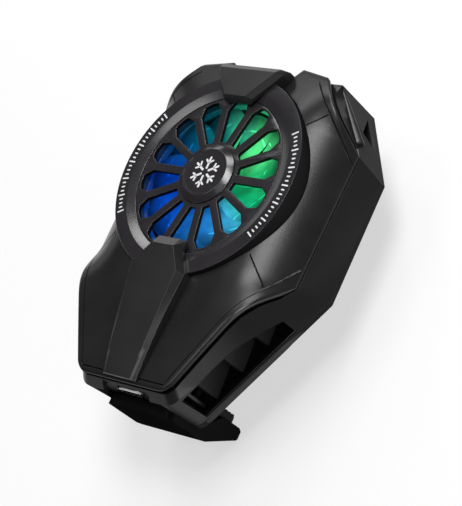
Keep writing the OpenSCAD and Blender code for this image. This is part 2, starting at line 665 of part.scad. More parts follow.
module mid_frame() {
  tail_in = tail_half_w - 2.2;
  color([0.14, 0.14, 0.15]) difference() {
    union() {
      loft(concat(right_rings, left_rings), loop = true);
      block(-tail_in, tail_in, -wall_y, -wall_in_y, base_z, usb_z + usb_h / 2 + 0.9);
      block(-head_half_w + 1.6, head_half_w - 1.6, head_wall_in_y, head_wall_y, base_z, head_wall_top);
    }
    block(-clip_half_w - 0.4, clip_half_w + 0.4, -far, -wall_y, base_z - eps, tail_strip_z - 0.3);
    block(-usb_notch_half_w, usb_notch_half_w, -far, -wall_y, tail_strip_z - 1, far);
    block(-tongue_half_w - slide_gap, tongue_half_w + slide_gap, -far, -wall_in_y + eps, base_z - eps,
        tongue_top + slide_gap);
    translate([0, 0, usb_z]) along_y(-far, -wall_in_y + 0.5) usb_outline(0.15);
    for (sx = [-1, 1]) translate([sx * rod_x, -wall_in_y - 1.2, rod_z]) rotate([-90, 0, 0])
      cylinder(r = rod_r + screw_gap, h = 1.3);
    block(-claw_half_w - 0.4, claw_half_w + 0.4, head_wall_y, far, base_z - eps, 12.4);
    block(-claw_half_w + 0.7, claw_half_w - 0.7, head_wall_in_y - eps, far, base_z - eps,
        base_z + tongue_t + 0.3);
    tail_vent();
    mirror([1, 0, 0]) tail_vent();
    head_vent();
    mirror([1, 0, 0]) head_vent();
  }
}

// Upright slats behind a tail vent, turned to face the tail
module vent_slats() {
  pitch = (vent_share * flank_len - 5) / slat_count;
  for (i = [0:slat_count - 1]) {
    s = 6.2 + i * pitch;
    top = strip_z([1, min(vent_share, (s + 2) / flank_len), 0]) - 0.6;
    on_flank(flank_from, flank_angle) translate([s, 3.5, base_z]) rotate(33)
      cube([slat_len, slat_t, top - base_z]);
  }
}

module right_vent_slats() {
  color([0.2, 0.2, 0.21]) vent_slats();
}

module left_vent_slats() {
  color([0.2, 0.2, 0.21]) mirror([1, 0, 0]) vent_slats();
}

module back_outline() {
  half = [for (s = sorted_stations) outline_at(base_outline, s)];
  polygon(concat(half, [for (i = [len(half) - 2:-1:1]) [-half[i][0], half[i][1]]]));
}

module back_cover() {
  color([0.13, 0.13, 0.14]) difference() {
    union() {
      translate([0, 0, back_z]) linear_extrude(back_t) back_outline();
      at_sides(ear_x, 0) translate([0, 0, base_z - eps]) cylinder(r = ear_r - 0.2,
          h = sink_z - base_z + eps);
      at_sides(board_post[0], board_post[1]) translate([0, 0, base_z - eps])
        cylinder(r = board_post_r, h = board_z - base_z + eps);
    }
    block(-cold_w / 2 - window_gap, cold_w / 2 + window_gap, -cold_w / 2 - window_gap,
        cold_w / 2 + window_gap, 0, far);
    block(-clip_half_w - 0.4, clip_half_w + 0.4, -far, -wall_y, 0, far);
    block(-claw_half_w - 0.4, claw_half_w + 0.4, head_wall_y, far, 0, far);
    for (p = case_screw_at) at_sides(p[0], p[1]) {
      cylinder(r = screw_r + screw_gap, h = far);
      cylinder(r = screw_head_r + 0.1, h = back_z + screw_head_h);
    }
    at_sides(ear_x, 0) translate([0, 0, base_z + 0.4]) cylinder(r = screw_r + screw_gap, h = far);
    at_sides(board_post[0], board_post[1]) translate([0, 0, board_z - board_bite - 0.6])
        cylinder(r = screw_r + screw_gap, h = far);
    at_sides(claw_screw_x, claw_screw_y) translate([0, 0, back_z + 0.3])
        cylinder(r = screw_r + screw_gap, h = far);
  }
}

module cold_plate() {
  color([0.75, 0.76, 0.78]) difference() {
    union() {
      block(-cold_w / 2, cold_w / 2, -cold_w / 2, cold_w / 2, pad_t, cold_top);
      block(-cold_flange_half, cold_flange_half, -cold_flange_half, cold_flange_half, base_z, cold_top);
    }
    at_corners(clamp_xy, clamp_xy) cylinder(r = screw_r + screw_gap, h = far);
  }
}

module contact_pad() {
  color([0.35, 0.37, 0.4]) block(-pad_w / 2, pad_w / 2, -pad_w / 2, pad_w / 2, 0, pad_t);
}

module module_ceramics() {
  color([0.93, 0.93, 0.9]) for (z = [cold_top, hot_z]) block(-module_w / 2, module_w / 2,
      -module_w / 2, module_w / 2,
    z, z + ceramic_t);
}

module module_pellets() {
  pitch = (module_w - 2) / pellet_rows;
  side = pitch * 0.5;
  start = -pitch * (pellet_rows - 1) / 2;
  color([0.5, 0.5, 0.52]) for (i = [0:pellet_rows - 1], j = [0:pellet_rows - 1])
    translate([start + i * pitch - side / 2, start + j * pitch - side / 2, pellet_z]) cube([side, side,
        pellet_h]);
}

module foam_gasket() {
  inside = module_w / 2 + 0.2;
  color([0.25, 0.25, 0.25]) difference() {
    block(-cold_flange_half, cold_flange_half, -cold_flange_half, cold_flange_half, cold_top, sink_z);
    block(-inside, inside, -inside, inside, 0, far);
    at_corners(clamp_xy, clamp_xy) cylinder(r = screw_r + screw_gap, h = far);
  }
}

module heat_sink() {
  half = sink_w / 2;
  pitch = (sink_w - fin_t - 2) / (fin_count - 1);
  color([0.7, 0.71, 0.73]) difference() {
    union() {
      block(-half, half, -half, half, sink_z, sink_top);
      for (i = [0:fin_count - 1]) translate([-half + 1 + i * pitch, -half, sink_top - eps])
          cube([fin_t, sink_w, fin_h + eps]);
      at_corners(fan_screw_x, fan_screw_y) translate([0, 0, sink_z]) cylinder(r = fan_boss_r,
          h = sink_base_t + fin_h);
      at_sides(ear_x, 0) translate([0, 0, sink_z]) cylinder(r = ear_r, h = sink_base_t);
      block(-ear_x, ear_x, -ear_r, ear_r, sink_z, sink_top);
    }
    at_corners(fan_screw_x, fan_screw_y) translate([0, 0, sink_z + 0.6])
        cylinder(r = screw_r + screw_gap, h = far);
    at_corners(clamp_xy, clamp_xy) cylinder(r = screw_r + screw_gap, h = far);
    at_corners(clamp_xy, clamp_xy) translate([0, 0, sink_top]) cylinder(r = screw_head_r + 0.2, h = far);
    at_sides(ear_x, 0) cylinder(r = screw_r + screw_gap, h = far);
    at_sides(ear_x, 0) translate([0, 0, sink_top]) cylinder(r = screw_head_r + 0.2, h = far);
  }
}

tube_r = 2.4;
bearing_r = 1.6;
bearing_h = 3.9;
motor_base_r = 6.6;

module fan_frame() {
  color([0.16, 0.16, 0.17]) difference() {
    union() {
      translate([0, 0, fan_z]) ring(duct_r + duct_wall, duct_r, duct_h);
      translate([0, 0, seat_top - seat_t]) ring(ring_r, duct_r + duct_wall - 0.2, seat_t);
      translate([0, 0, fan_z]) cylinder(r = motor_base_r, h = arm_t);
      translate([0, 0, fan_z]) cylinder(r = tube_r, h = arm_t + bearing_h);
      for (a = [30, 150, 270]) rotate(a) block(motor_base_r - 1, duct_r + 1, -1.2, 1.2, fan_z,
          fan_z + arm_t);
    }
    translate([0, 0, fan_z + 0.6]) cylinder(r = bearing_r + screw_gap, h = far);
    at_corners(fan_screw_x, fan_screw_y) cylinder(r = screw_r + screw_gap, h = far);
    at_corners(fan_screw_x, fan_screw_y) translate([0, 0, duct_top - screw_head_h - 0.2])
        cylinder(r = screw_head_r + 0.1, h = far);
    for (a = [45:90:315]) rotate(a) translate([bezel_screw_r, 0, 0]) cylinder(r = screw_r, h = far);
  }
}

module fan_bearing() {
  color([0.72, 0.55, 0.3]) translate([0, 0, fan_z + 0.7]) ring(bearing_r, shaft_r + bearing_gap,
      bearing_h);
}

stator_z = fan_z + arm_t + 0.5;
stator_h = 3;
pole_count = 6;
magnet_out_r = rotor_r - 0.8;
magnet_t = 0.85;
stator_r = magnet_out_r - magnet_t - 0.35;

module motor_stator() {
  color([0.45, 0.46, 0.48]) translate([0, 0, stator_z]) difference() {
    union() {
      cylinder(r = 3.2, h = stator_h);
      for (i = [0:pole_count - 1]) rotate(i * 360 / pole_count) block(2.8, stator_r - 0.4, -0.6, 0.6,
          0.5, stator_h - 0.5);
      for (i = [0:pole_count - 1]) rotate(i * 360 / pole_count) intersection() {
        ring(stator_r, stator_r - 0.5, stator_h);
        block(3, 6, -1.7, 1.7, -1, stator_h + 1);
      }
    }
    translate([0, 0, -eps]) cylinder(r = tube_r + screw_gap, h = far);
  }
}

module stator_coils() {
  color([0.72, 0.38, 0.16]) translate([0, 0, stator_z]) for (i = [0:pole_count - 1])
      rotate(i * 360 / pole_count)
    difference() {
      block(3.4, stator_r - 0.7, -1.15, 1.15, 0.1, stator_h - 0.1);
      block(3, stator_r, -0.65, 0.65, 0.45, stator_h - 0.45);
    }
}

blade_z0 = fan_z + arm_t + 0.9;
blade_z1 = grille_z - 0.4;
rotor_top = blade_z1;
blade_t = 0.8;
blade_sweep = 18;
blade_span = 48;
blade_tilt = 16;
// Edge of a blade in plan, swept back from the hub to the tip
function blade_edge(t, a) = let (r = lerp(rotor_r - 0.4, blade_r, t), b = a + blade_sweep * t * t)
  [r * cos(b), r * sin(b)];
blade_plan = concat([for (k = [0:5]) blade_edge(k / 5, 0)],
  [for (k = [1:5]) blade_edge(1, blade_span * k / 5)],
  [for (k = [4:-1:0]) blade_edge(k / 5, blade_span)],
  [for (k = [4:-1:1]) blade_edge(0, blade_span * k / 5)]);

// A tilted plate cut to the blade's plan
module blade() {
  intersection() {
    translate([0, 0, blade_z0 + 0.2]) linear_extrude(blade_z1 - blade_z0 - 0.4) polygon(blade_plan);
    rotate((blade_sweep + blade_span) / 2) translate([0, 0, (blade_z0 + blade_z1) / 2])
        rotate([-blade_tilt, 0, 0])
      translate([0, -blade_r, -blade_t / 2]) cube([1.5 * blade_r, 2 * blade_r, blade_t]);
  }
}

module fan_impeller() {
  color([0.6, 0.75, 0.75, 0.6]) {
    difference() {
      translate([0, 0, blade_z0]) cylinder(r = rotor_r, h = rotor_top - blade_z0);
      difference() {
        translate([0, 0, blade_z0 - eps]) cylinder(r = magnet_out_r + touch,
            h = rotor_top - blade_z0 - 0.9);
        translate([0, 0, shaft_seat_z]) cylinder(r = 1.6, h = far);
      }
      cylinder(r = shaft_r + eps, h = rotor_top - 0.4);
    }
    for (i = [0:blade_count - 1]) rotate(i * 360 / blade_count) blade();
  }
}

shaft_seat_z = rotor_top - 1.1;

module rotor_magnet() {
  color([0.3, 0.3, 0.32]) translate([0, 0, stator_z + 0.1]) ring(magnet_out_r, magnet_out_r - magnet_t,
      stator_h);
}

module fan_shaft() {
  color([0.8, 0.8, 0.82]) translate([0, 0, fan_z + 0.75]) cylinder(r = shaft_r,
      h = rotor_top - 0.4 - fan_z - 0.8);
}

module light_guide() {
  color([0.6, 0.9, 0.9, 0.5]) translate([0, 0, guide_z]) ring(seat_r - 0.4, duct_r + 0.1, guide_t);
}

module light_board() {
  color([0.1, 0.3, 0.2]) translate([0, 0, duct_top]) ring(duct_r + duct_wall, duct_r + 0.3,
      light_board_t);
}

module light_sources() {
  color([0.95, 0.95, 0.85]) for (i = [0:led_count - 1]) rotate((i + 0.5) * 360 / led_count)
    translate([duct_r + duct_wall / 2, 0, led_z]) block(-0.9, 0.9, -0.9, 0.9, 0, led_h);
}

module main_board() {
  y_tail = -wall_in_y + 0.2;
  y_wide = board_post[1] - 3.4;
  half = [[board_tail_half_w, y_tail], [board_tail_half_w, y_wide - 4], [board_half_w, y_wide],
    [board_half_w, -board_y0]];
  color([0.08, 0.28, 0.16]) difference() {
    translate([0, 0, board_z]) linear_extrude(board_t)
      polygon(concat(half, [for (i = [len(half) - 1:-1:0]) [-half[i][0], half[i][1]]]));
    at_sides(board_post[0], board_post[1]) cylinder(r = screw_r + screw_gap, h = far);
  }
}

// Sizes of the parts on the main board, from its edge of the ring side back
part_edge = 0.4;
chip_w = 5;
chip_h = 0.9;
chip_back = 4.4;
coil_w = 3.8;
coil_l = 4;
coil_h = 2.4;
coil_back = 8.4;
plug_w = 3;
plug_l = 4;
plug_h = 1.6;
plug_back = 8.9;
can_r = 1.6;
can_h = 3;
can_back = 3.4;
can_step = 0.5;
resistor_w = 1;
resistor_l = 0.7;
resistor_h = 0.5;
resistor_pitch = 2;
resistor_shift = 0.6;
resistor_back = 12.2;

module board_components() {
  z = board_z + board_t;
  y = -board_y0;
  x = board_tail_half_w;
  color([0.2, 0.2, 0.2]) {
    block(-chip_w / 2, chip_w / 2, y - chip_back - chip_w, y - chip_back, z, z + chip_h);
    block(x - part_edge - coil_w, x - part_edge, y - coil_back - coil_l, y - coil_back, z, z + coil_h);
    block(-x + part_edge, -x + part_edge + plug_w, y - plug_back - plug_l, y - plug_back, z, z + plug_h);
    translate([-x + can_r, y - can_back, z]) cylinder(r = can_r, h = can_h);
    translate([x - can_r, y - can_back - can_step, z]) cylinder(r = can_r, h = can_h);
    for (i = [-1:1]) {
      at = resistor_pitch * i - resistor_shift;
      block(at - resistor_w / 2, at + resistor_w / 2, y - resistor_back - resistor_l,
          y - resistor_back, z,
          z + resistor_h);
    }
  }
}

usb_lip = 0.35;
usb_shell_t = 0.35;
usb_back_t = 0.6;
usb_mouth_y = wall_y + usb_lip;
usb_tongue_side = 1.12;
usb_tongue_t = 0.7;
usb_tongue_in = 0.7;

module usb_socket() {
  color([0.85, 0.85, 0.87]) translate([0, 0, usb_z]) difference() {
    along_y(-usb_mouth_y, -usb_mouth_y + usb_len) usb_outline(0);
    along_y(-usb_mouth_y - eps, -usb_mouth_y + usb_len - usb_back_t) usb_outline(-usb_shell_t);
  }
}

module usb_tongue() {
  half_w = usb_w / 2 - usb_tongue_side;
  color([0.1, 0.1, 0.1]) block(-half_w, half_w, -usb_mouth_y + usb_tongue_in,
      -usb_mouth_y + usb_len - usb_back_t, usb_z - usb_tongue_t / 2, usb_z + usb_tongue_t / 2);
}

// Side view of a jaw whose plate stands at y, leaning in to its tip under the case
function jaw_side(y0, y1, top, reach) = [[y0, top - 0.8], [y0, -0.8], [y0 - 0.3, -2.6],
  [y1 - reach + jaw_tip_t, -jaw_depth + 0.3], [y1 - reach + jaw_tip_t - 0.4, -jaw_depth],
  [y1 - reach + 0.5, -jaw_depth], [y1 - reach, -jaw_depth + 0.8], [y1 - reach, -4.8], [y1, back_z - 0.5],
  [y1, top], [y0 - 0.8, top]];

// Side view of a toothed pad between two heights, standing out of a face at y
function pad_side(y) = let (z0 = -jaw_depth + 1.4, z1 = -5.3, step = (z1 - z0) / tooth_count)
  concat([[y, z1], [y, z0]], [for (i = [0:tooth_count - 1]) each [[y - jaw_pad_t + 0.7, z0 + i * step],
    [y - jaw_pad_t, z0 + (i + 0.3) * step], [y - jaw_pad_t, z0 + (i + 0.7) * step]]],
    [[y - jaw_pad_t + 0.7, z1]]);

module jaw(y0, y1, top, half, reach) {
  along_x(half) polygon(jaw_side(y0, y1, top, reach));
}

module jaw_pad(y, half) {
  along_x(half) polygon(pad_side(y));
}

module slider_clip() {
  color([0.12, 0.12, 0.13]) difference() {
    union() {
      mirror([0, 1, 0]) jaw(clip_out_y, clip_in_y, clip_top_z, clip_half_w, jaw_reach);
      block(-tongue_half_w, tongue_half_w, -clip_in_y - 0.3, -carriage_y, tongue_z, tongue_top);
      block(-tongue_half_w, tongue_half_w, -carriage_y - carriage_len, -carriage_y, tongue_z,
          carriage_top);
    }
    for (sx = [-1, 1]) translate([sx * rod_x, -carriage_y + eps, rod_z]) rotate([90, 0, 0])
      cylinder(r = rod_r + rod_gap, h = carriage_len + 2 * eps);
    for (sx = [-1, 1]) block(sx * clip_half_w - 1.6, sx * clip_half_w + 1.6, -far, -clip_in_y + eps,
        clip_top_z - 1.2, far);
  }
}

module slider_pad() {
  color([0.07, 0.07, 0.07]) mirror([0, 1, 0]) jaw_pad(clip_in_y - jaw_reach, jaw_pad_half_w);
}

claw_screw_in = 3.5;
claw_screw_back = 2.2;
claw_lug = 2.4;
claw_step = 1;
claw_screw_x = claw_half_w - claw_screw_in;
claw_screw_y = head_wall_in_y - claw_screw_back;

module head_claw() {
  color([0.12, 0.12, 0.13]) difference() {
    union() {
      jaw(claw_in_y + claw_plate_t, claw_in_y, claw_top_z, claw_half_w, claw_reach);
      block(-claw_half_w + claw_step, claw_half_w - claw_step, claw_screw_y - claw_lug,
          claw_in_y + 0.3, base_z,
          base_z + tongue_t);
    }
    at_sides(claw_screw_x, claw_screw_y) cylinder(r = screw_r + screw_gap, h = far);
  }
}

module claw_pad() {
  color([0.07, 0.07, 0.07]) jaw_pad(claw_in_y - claw_reach, min(jaw_pad_half_w, claw_half_w - claw_step));
}

module guide_rods() {
  color([0.78, 0.78, 0.8]) for (sx = [-1, 1]) translate([sx * rod_x, -wall_in_y - 1.1, rod_z])
      rotate([-90, 0, 0])
    cylinder(r = rod_r, h = wall_in_y + 1.1 - bracket_y);
}

module rod_bracket() {
  color([0.3, 0.3, 0.32]) difference() {
    block(-tongue_half_w, tongue_half_w, -bracket_y - bracket_t, -bracket_y, base_z, rod_z + rod_r + 1);
    for (sx = [-1, 1]) translate([sx * rod_x, 0, rod_z]) rotate([90, 0, 0])
        cylinder(r = rod_r + screw_gap, h = far);
  }
}

// Centre line of a spring: straight ends along the rod and a helix between them
spring_rings = 8;
spring_end = spring_wire;
spring_steps = spring_turns * spring_rings;
function spring_point(i) = let (a = 360 * i / spring_rings)
  [spring_r * cos(a), spring_end + (spring_len - 2 * spring_end) * i / spring_steps, spring_r * sin(a)];
spring_path = concat([spring_point(0) - [0, spring_end, 0]], [for (i = [0:spring_steps]) spring_point(i)],
  [spring_point(spring_steps) + [0, spring_end, 0]]);
function wire_ring(i) = let (p = spring_path[i], out = [p[0], 0, p[2]] / spring_r,
    ahead = spring_path[min(i + 1, len(spring_path) - 1)] - spring_path[max(i - 1, 0)],
    along = (i == 0 || i == len(spring_path) - 1) ? [0, 1, 0] : ahead / norm(ahead),
        side = cross(along, out),
    s = side / norm(side))
  [for (k = [0:5]) p + spring_wire / 2 * (out * cos(60 * k) + s * sin(60 * k))];
spring_gap = min([for (i = [0:len(spring_path) - 1], j = [0:len(spring_path) - 1]) if (j > i + 4)
  norm(spring_path[i] - spring_path[j])]) - spring_wire;
echo(spring_least_gap = spring_gap);

module spring_at(x) {
  color([0.7, 0.7, 0.72]) translate([x, 0, rod_z]) mirror([0, 1, 0]) translate([0, spring_y0, 0])
    loft([for (i = [0:len(spring_path) - 1]) wire_ring(i)]);
}

module left_spring() {
  spring_at(-rod_x);
}

module right_spring() {
  spring_at(rod_x);
}

module case_screws() {
  color([0.55, 0.55, 0.57]) for (p = case_screw_at) at_sides(p[0], p[1])
    screw(back_z + screw_head_h, case_boss_z + case_bite - back_z - screw_head_h, up = true);
}

module sink_screws() {
  color([0.6, 0.6, 0.62]) {
    at_corners(clamp_xy, clamp_xy) screw(sink_top, sink_top - base_z - 0.1);
    at_sides(ear_x, 0) screw(sink_top, sink_top - base_z - 0.6);
  }
}

module fan_screws() {
  color([0.6, 0.6, 0.62]) at_corners(fan_screw_x, fan_screw_y)
    screw(duct_top - screw_head_h - 0.2, duct_top - screw_head_h - 0.2 - sink_z - 1);
}

module bezel_screws() {
  color([0.6, 0.6, 0.62]) for (a = [45:90:315]) rotate(a) translate([bezel_screw_r, 0, 0])
    screw(seat_top - seat_t, seat_t + bezel_bite, r = screw_r - 0.2, up = true);
}

module board_screws() {
  color([0.6, 0.6, 0.62]) at_sides(board_post[0], board_post[1]) screw(board_z + board_t,
      board_t + board_bite);
}

module claw_screws() {
  color([0.6, 0.6, 0.62]) at_sides(claw_screw_x, claw_screw_y) screw(base_z + tongue_t,
      tongue_t + back_t - 0.5);
}

front_cover();
ring_bezel();
fan_grille();
hub_cap();
tail_spine();
head_wedge();
mid_frame();
left_vent_slats();
right_vent_slats();
back_cover();
cold_plate();
contact_pad();
module_ceramics();
module_pellets();
foam_gasket();
heat_sink();
fan_frame();
fan_bearing();
motor_stator();
stator_coils();
fan_impeller();
rotor_magnet();
fan_shaft();
light_guide();
light_board();
light_sources();
main_board();
board_components();
usb_socket();
usb_tongue();
slider_clip();
slider_pad();
head_claw();
claw_pad();
guide_rods();
rod_bracket();
left_spring();
right_spring();
case_screws();
sink_screws();
fan_screws();
bezel_screws();
board_screws();
claw_screws();
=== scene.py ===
"""Looks of the clip-on phone cooling fan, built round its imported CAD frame.

Sizes in this file are in millimetres, in the CAD frame, until a mesh is made: then they are metres.
"""

import math

import bmesh
import bpy
import numpy as np
from mathutils import Matrix, Vector


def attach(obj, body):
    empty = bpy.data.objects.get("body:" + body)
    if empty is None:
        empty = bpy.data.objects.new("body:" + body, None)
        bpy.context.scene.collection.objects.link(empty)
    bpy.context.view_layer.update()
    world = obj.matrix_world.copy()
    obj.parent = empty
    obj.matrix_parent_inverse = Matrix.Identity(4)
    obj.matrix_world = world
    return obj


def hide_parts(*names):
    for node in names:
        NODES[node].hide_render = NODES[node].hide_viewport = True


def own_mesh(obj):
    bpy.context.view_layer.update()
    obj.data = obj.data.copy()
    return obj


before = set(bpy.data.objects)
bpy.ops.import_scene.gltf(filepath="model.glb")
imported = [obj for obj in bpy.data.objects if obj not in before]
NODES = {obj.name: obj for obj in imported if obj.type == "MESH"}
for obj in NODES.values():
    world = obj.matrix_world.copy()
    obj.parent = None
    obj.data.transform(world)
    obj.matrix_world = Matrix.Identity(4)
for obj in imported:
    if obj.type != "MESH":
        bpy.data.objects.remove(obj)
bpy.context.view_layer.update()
SCENE = bpy.context.scene
MM = 0.001

# Sizes that the dressed pieces share with the CAD solids
TAIL_Y, HEAD_Y = 47.3, 26.1
SHOULDER_TAIL_Y, SHOULDER_HEAD_Y = 18.2, 12.6
TAIL_W, SHOULDER_W, HEAD_W = 12.9, 28.5, 18.7
DECK_Z, RING_TOP, RING_R = 19.8, 20.9, 23.7
FLAT_W, SIDE_FALL, SIDE_POWER = 14.4, 7.6, 2.1
TAIL_RUN, TAIL_FALL, TAIL_POWER = 22, 1.55, 1.3
HEAD_RUN, HEAD_FALL, HEAD_POWER = 10.8, 1.6, 1.5
COVER_T, EDGE_W, EDGE_H, TAIL_CORNER = 1.2, 1.0, 0.4, 2.3
WING_TAIL, WING_TAIL_RUN, WING_HEAD, WING_HEAD_RUN = 13.3, 13.8, 1.6, 10.5
EAR_IN, EAR_RISE, EAR_PEAK, EAR_FADE = 0.5, 0.07, 0.57, 0.43
EAR_END, EAR_REACH, EAR_RUN = 0.35, 2.1, 6
RING_IN, RING_CHAMFER, RING_SEAT, RING_LOW = 18.6, 20.7, 22.0, 14.5
FLANGE_LOW, WEB_LOW, GRILLE_TOP, GRILLE_R = 17.9, 19.3, 20.3, 18.5
PETALS, PETAL_IN, PETAL_OUT, SPOKE = 14, 7.8, 18.0, 1.8
BLADES, BLADE_IN, BLADE_OUT = 9, 7.05, 16.9
BLADE_LOW, BLADE_MID, BLADE_TOP = 13.75, 16.25, 18.75


# Camera

def make_camera():
    """The photograph's view: place, the three axes of the camera, and the lens."""
    data = bpy.data.cameras.new("photo_view")
    data.sensor_width = 36.0
    data.lens = 147.08
    data.clip_start, data.clip_end = 0.01, 20.0
    cam = bpy.data.objects.new("photo_view", data)
    SCENE.collection.objects.link(cam)
    right = Vector((0.7251, 0.4028, -0.5586))
    down = Vector((0.1381, -0.8797, -0.4551))
    ahead = right.cross(down)
    turn = Matrix((right, -down, -ahead)).transposed().normalized()
    cam.matrix_world = Matrix.Translation(Vector((297.81, -121.93, 310.20)) * MM) @ turn.to_4x4()
    SCENE.camera = cam


# Materials

class Shader:
    """A Principled material with the few node chains that the finishes here are made of."""

    def __init__(self, name):
        self.material = bpy.data.materials.new(name)
        self.material.use_nodes = True
        self.tree = self.material.node_tree
        self.out = self.tree.nodes["Principled BSDF"]
        place = self.node("ShaderNodeTexCoord")
        self.coord, self.normal = place.outputs["Object"], place.outputs["Normal"]

    def node(self, kind, **values):
        made = self.tree.nodes.new(kind)
        for key, value in values.items():
            setattr(made, key, value)
        return made

    def link(self, a, b):
        self.tree.links.new(a, b)

    def set(self, **values):
        for key, value in values.items():
            socket = key.replace("_", " ").title().replace("Ior", "IOR")
            self.out.inputs[socket].default_value = value

    def feed(self, socket, value):
        """Links a value to a socket of the Principled shader."""
        self.link(value, self.out.inputs[socket])

    def noise(self, size, stretch=(1, 1, 1), detail=3.0):
        """Noise whose grains are about size millimetres across."""
        place = self.node("ShaderNodeMapping")
        place.inputs["Scale"].default_value = [s * 1000.0 / size for s in stretch]
        self.link(self.coord, place.inputs["Vector"])
        made = self.node("ShaderNodeTexNoise")
        made.inputs["Scale"].default_value = 1.0
        made.inputs["Detail"].default_value = detail
        self.link(place.outputs["Vector"], made.inputs["Vector"])
        return made.outputs["Fac"]

    def tones(self, fac, stops):
        ramp = self.node("ShaderNodeValToRGB")
        band = ramp.color_ramp
        while len(band.elements) < len(stops):
            band.elements.new(0.5)
        for element, (at, colour) in zip(band.elements, stops):
            element.position = at
            element.color = (*colour, 1.0)
        self.link(fac, ramp.inputs["Fac"])
        return ramp.outputs["Color"]

    def blend(self, fac, low, high):
        """Two tones that change over the middle of the noise."""
        return self.tones(fac, [(0.3, low), (0.7, high)])

    def span(self, fac, low, high, start=0.3, end=0.7):
        """A value that goes from low to high while fac goes from start to end."""
        ramp = self.node("ShaderNodeMapRange")
        names = ("From Min", "From Max", "To Min", "To Max")
        for key, value in zip(names, (start, end, low, high)):
            ramp.inputs[key].default_value = value
        self.link(fac, ramp.inputs["Value"])
        return ramp.outputs["Result"]

    def math(self, kind, a, b=None):
        made = self.node("ShaderNodeMath", operation=kind)
        for socket, value in zip(made.inputs, (a, b)):
            if value is None:
                continue
            if isinstance(value, (int, float)):
                socket.default_value = value
            else:
                self.link(value, socket)
        return made.outputs["Value"]

    def bump(self, height, depth):
        """depth is the height of the grain in millimetres."""
        made = self.node("ShaderNodeBump")
        made.inputs["Strength"].default_value = 1.0
        made.inputs["Distance"].default_value = depth * MM
        self.link(height, made.inputs["Height"])
        self.feed("Normal", made.outputs["Normal"])


WALL_SPECULAR = 0.09


def moulded(name, tone, rough, grain=0.35, depth=0.012, spread=0.14, specular=0.22,
            wall=None, painted_wall_shade=1.0):
    """Moulded plastic or rubber: a fine spark-eroded grain, slow changes of tone and of gloss.

    wall is the roughness of upright faces where they are more matt than the top, and the last
    argument is the share of the tone that upright faces keep: painted shade on the walls.
    """
    s = Shader(name)
    slow = s.noise(9.0, detail=2.0)
    fine = s.noise(grain, detail=4.0)
    low = [c * (1 - spread) for c in tone]
    high = [c * (1 + spread) for c in tone]
    colour = s.tones(slow, [(0.35, low), (0.65, high)])
    mixed = s.math("ADD", s.math("MULTIPLY", fine, 0.6), s.math("MULTIPLY", slow, 0.4))
    gloss = s.span(mixed, rough - 0.04, rough + 0.04)
    s.set(specular_ior_level=specular)
    if wall:
        parts = s.node("ShaderNodeSeparateXYZ")
        s.link(s.normal, parts.inputs["Vector"])
        steep = s.span(s.math("ABSOLUTE", parts.outputs["Z"]), 1.0, 0.0, 0.08, 0.22)
        gloss = s.math("ADD", gloss, s.math("MULTIPLY", steep, wall - rough))
        shine = s.span(steep, specular, min(specular, WALL_SPECULAR), 0.0, 1.0)
        s.feed("Specular IOR Level", shine)
        # painted shade: upright faces get a darker copy of the tone
        shade = s.node("ShaderNodeVectorMath", operation="SCALE")
        s.link(colour, shade.inputs["Vector"])
        s.link(s.span(steep, 1.0, painted_wall_shade, 0.0, 1.0), shade.inputs["Scale"])
        colour = shade.outputs["Vector"]
    s.feed("Base Color", colour)
    s.feed("Roughness", gloss)
    s.bump(fine, depth)
    return s.material


def metal(name, tone, rough, stretch=(1, 1, 1), grain=0.5, depth=0.006, spread=0.08):
    """Bare or plated metal with brush marks along the axis that is stretched least."""
    s = Shader(name)
    marks = s.noise(grain, stretch, detail=5.0)
    slow = s.noise(6.0, detail=2.0)
    low = [c * (1 - spread) for c in tone]
    high = [min(1.0, c * (1 + spread)) for c in tone]
    s.feed("Base Color", s.blend(slow, low, high))
    s.feed("Roughness", s.span(marks, rough - 0.07, rough + 0.09))
    s.set(metallic=1.0)
    s.bump(marks, depth)
    return s.material


def light_colours(s):
    """Colour of the built-in lights round the fan axis, radius and height in millimetres.

    It is blue at the left and green at the right.
    """
    place = s.node("ShaderNodeNewGeometry").outputs["Position"]
    parts = s.node("ShaderNodeSeparateXYZ")
    s.link(place, parts.inputs["Vector"])
    x, y, z = parts.outputs
    turn = s.math("ARCTAN2", y, x)
    share = s.math("ADD", s.math("DIVIDE", turn, 2 * math.pi), 0.5)
    stops = [(0.0, (0.0005, 0.035, 0.34)), (0.12, (0.0015, 0.06, 0.45)), (0.19, (0.003, 0.07, 0.4)),
             (0.25, (0.01, 0.15, 0.45)), (0.31, (0.013, 0.17, 0.52)), (0.39, (0.045, 0.42, 0.6)),
             (0.45, (0.004, 0.42, 0.16)), (0.54, (0.016, 0.46, 0.14)), (0.62, (0.09, 0.8, 0.25)),
             (0.69, (0.06, 0.66, 0.22)), (0.75, (0.03, 0.38, 0.22)), (0.81, (0.001, 0.1, 0.105)),
             (0.9, (0.001, 0.075, 0.17)), (1.0, (0.0005, 0.035, 0.34))]
    colour = s.tones(share, stops)
    radius = s.math("SQRT", s.math("ADD", s.math("MULTIPLY", x, x), s.math("MULTIPLY", y, y)))
    return colour, s.math("MULTIPLY", radius, 1000.0), s.math("MULTIPLY", z, 1000.0)


# radius and width of the painted highlight arcs on the blades
HIGHLIGHT_ARC_R, HIGHLIGHT_ARC_W = 13.5, 0.28


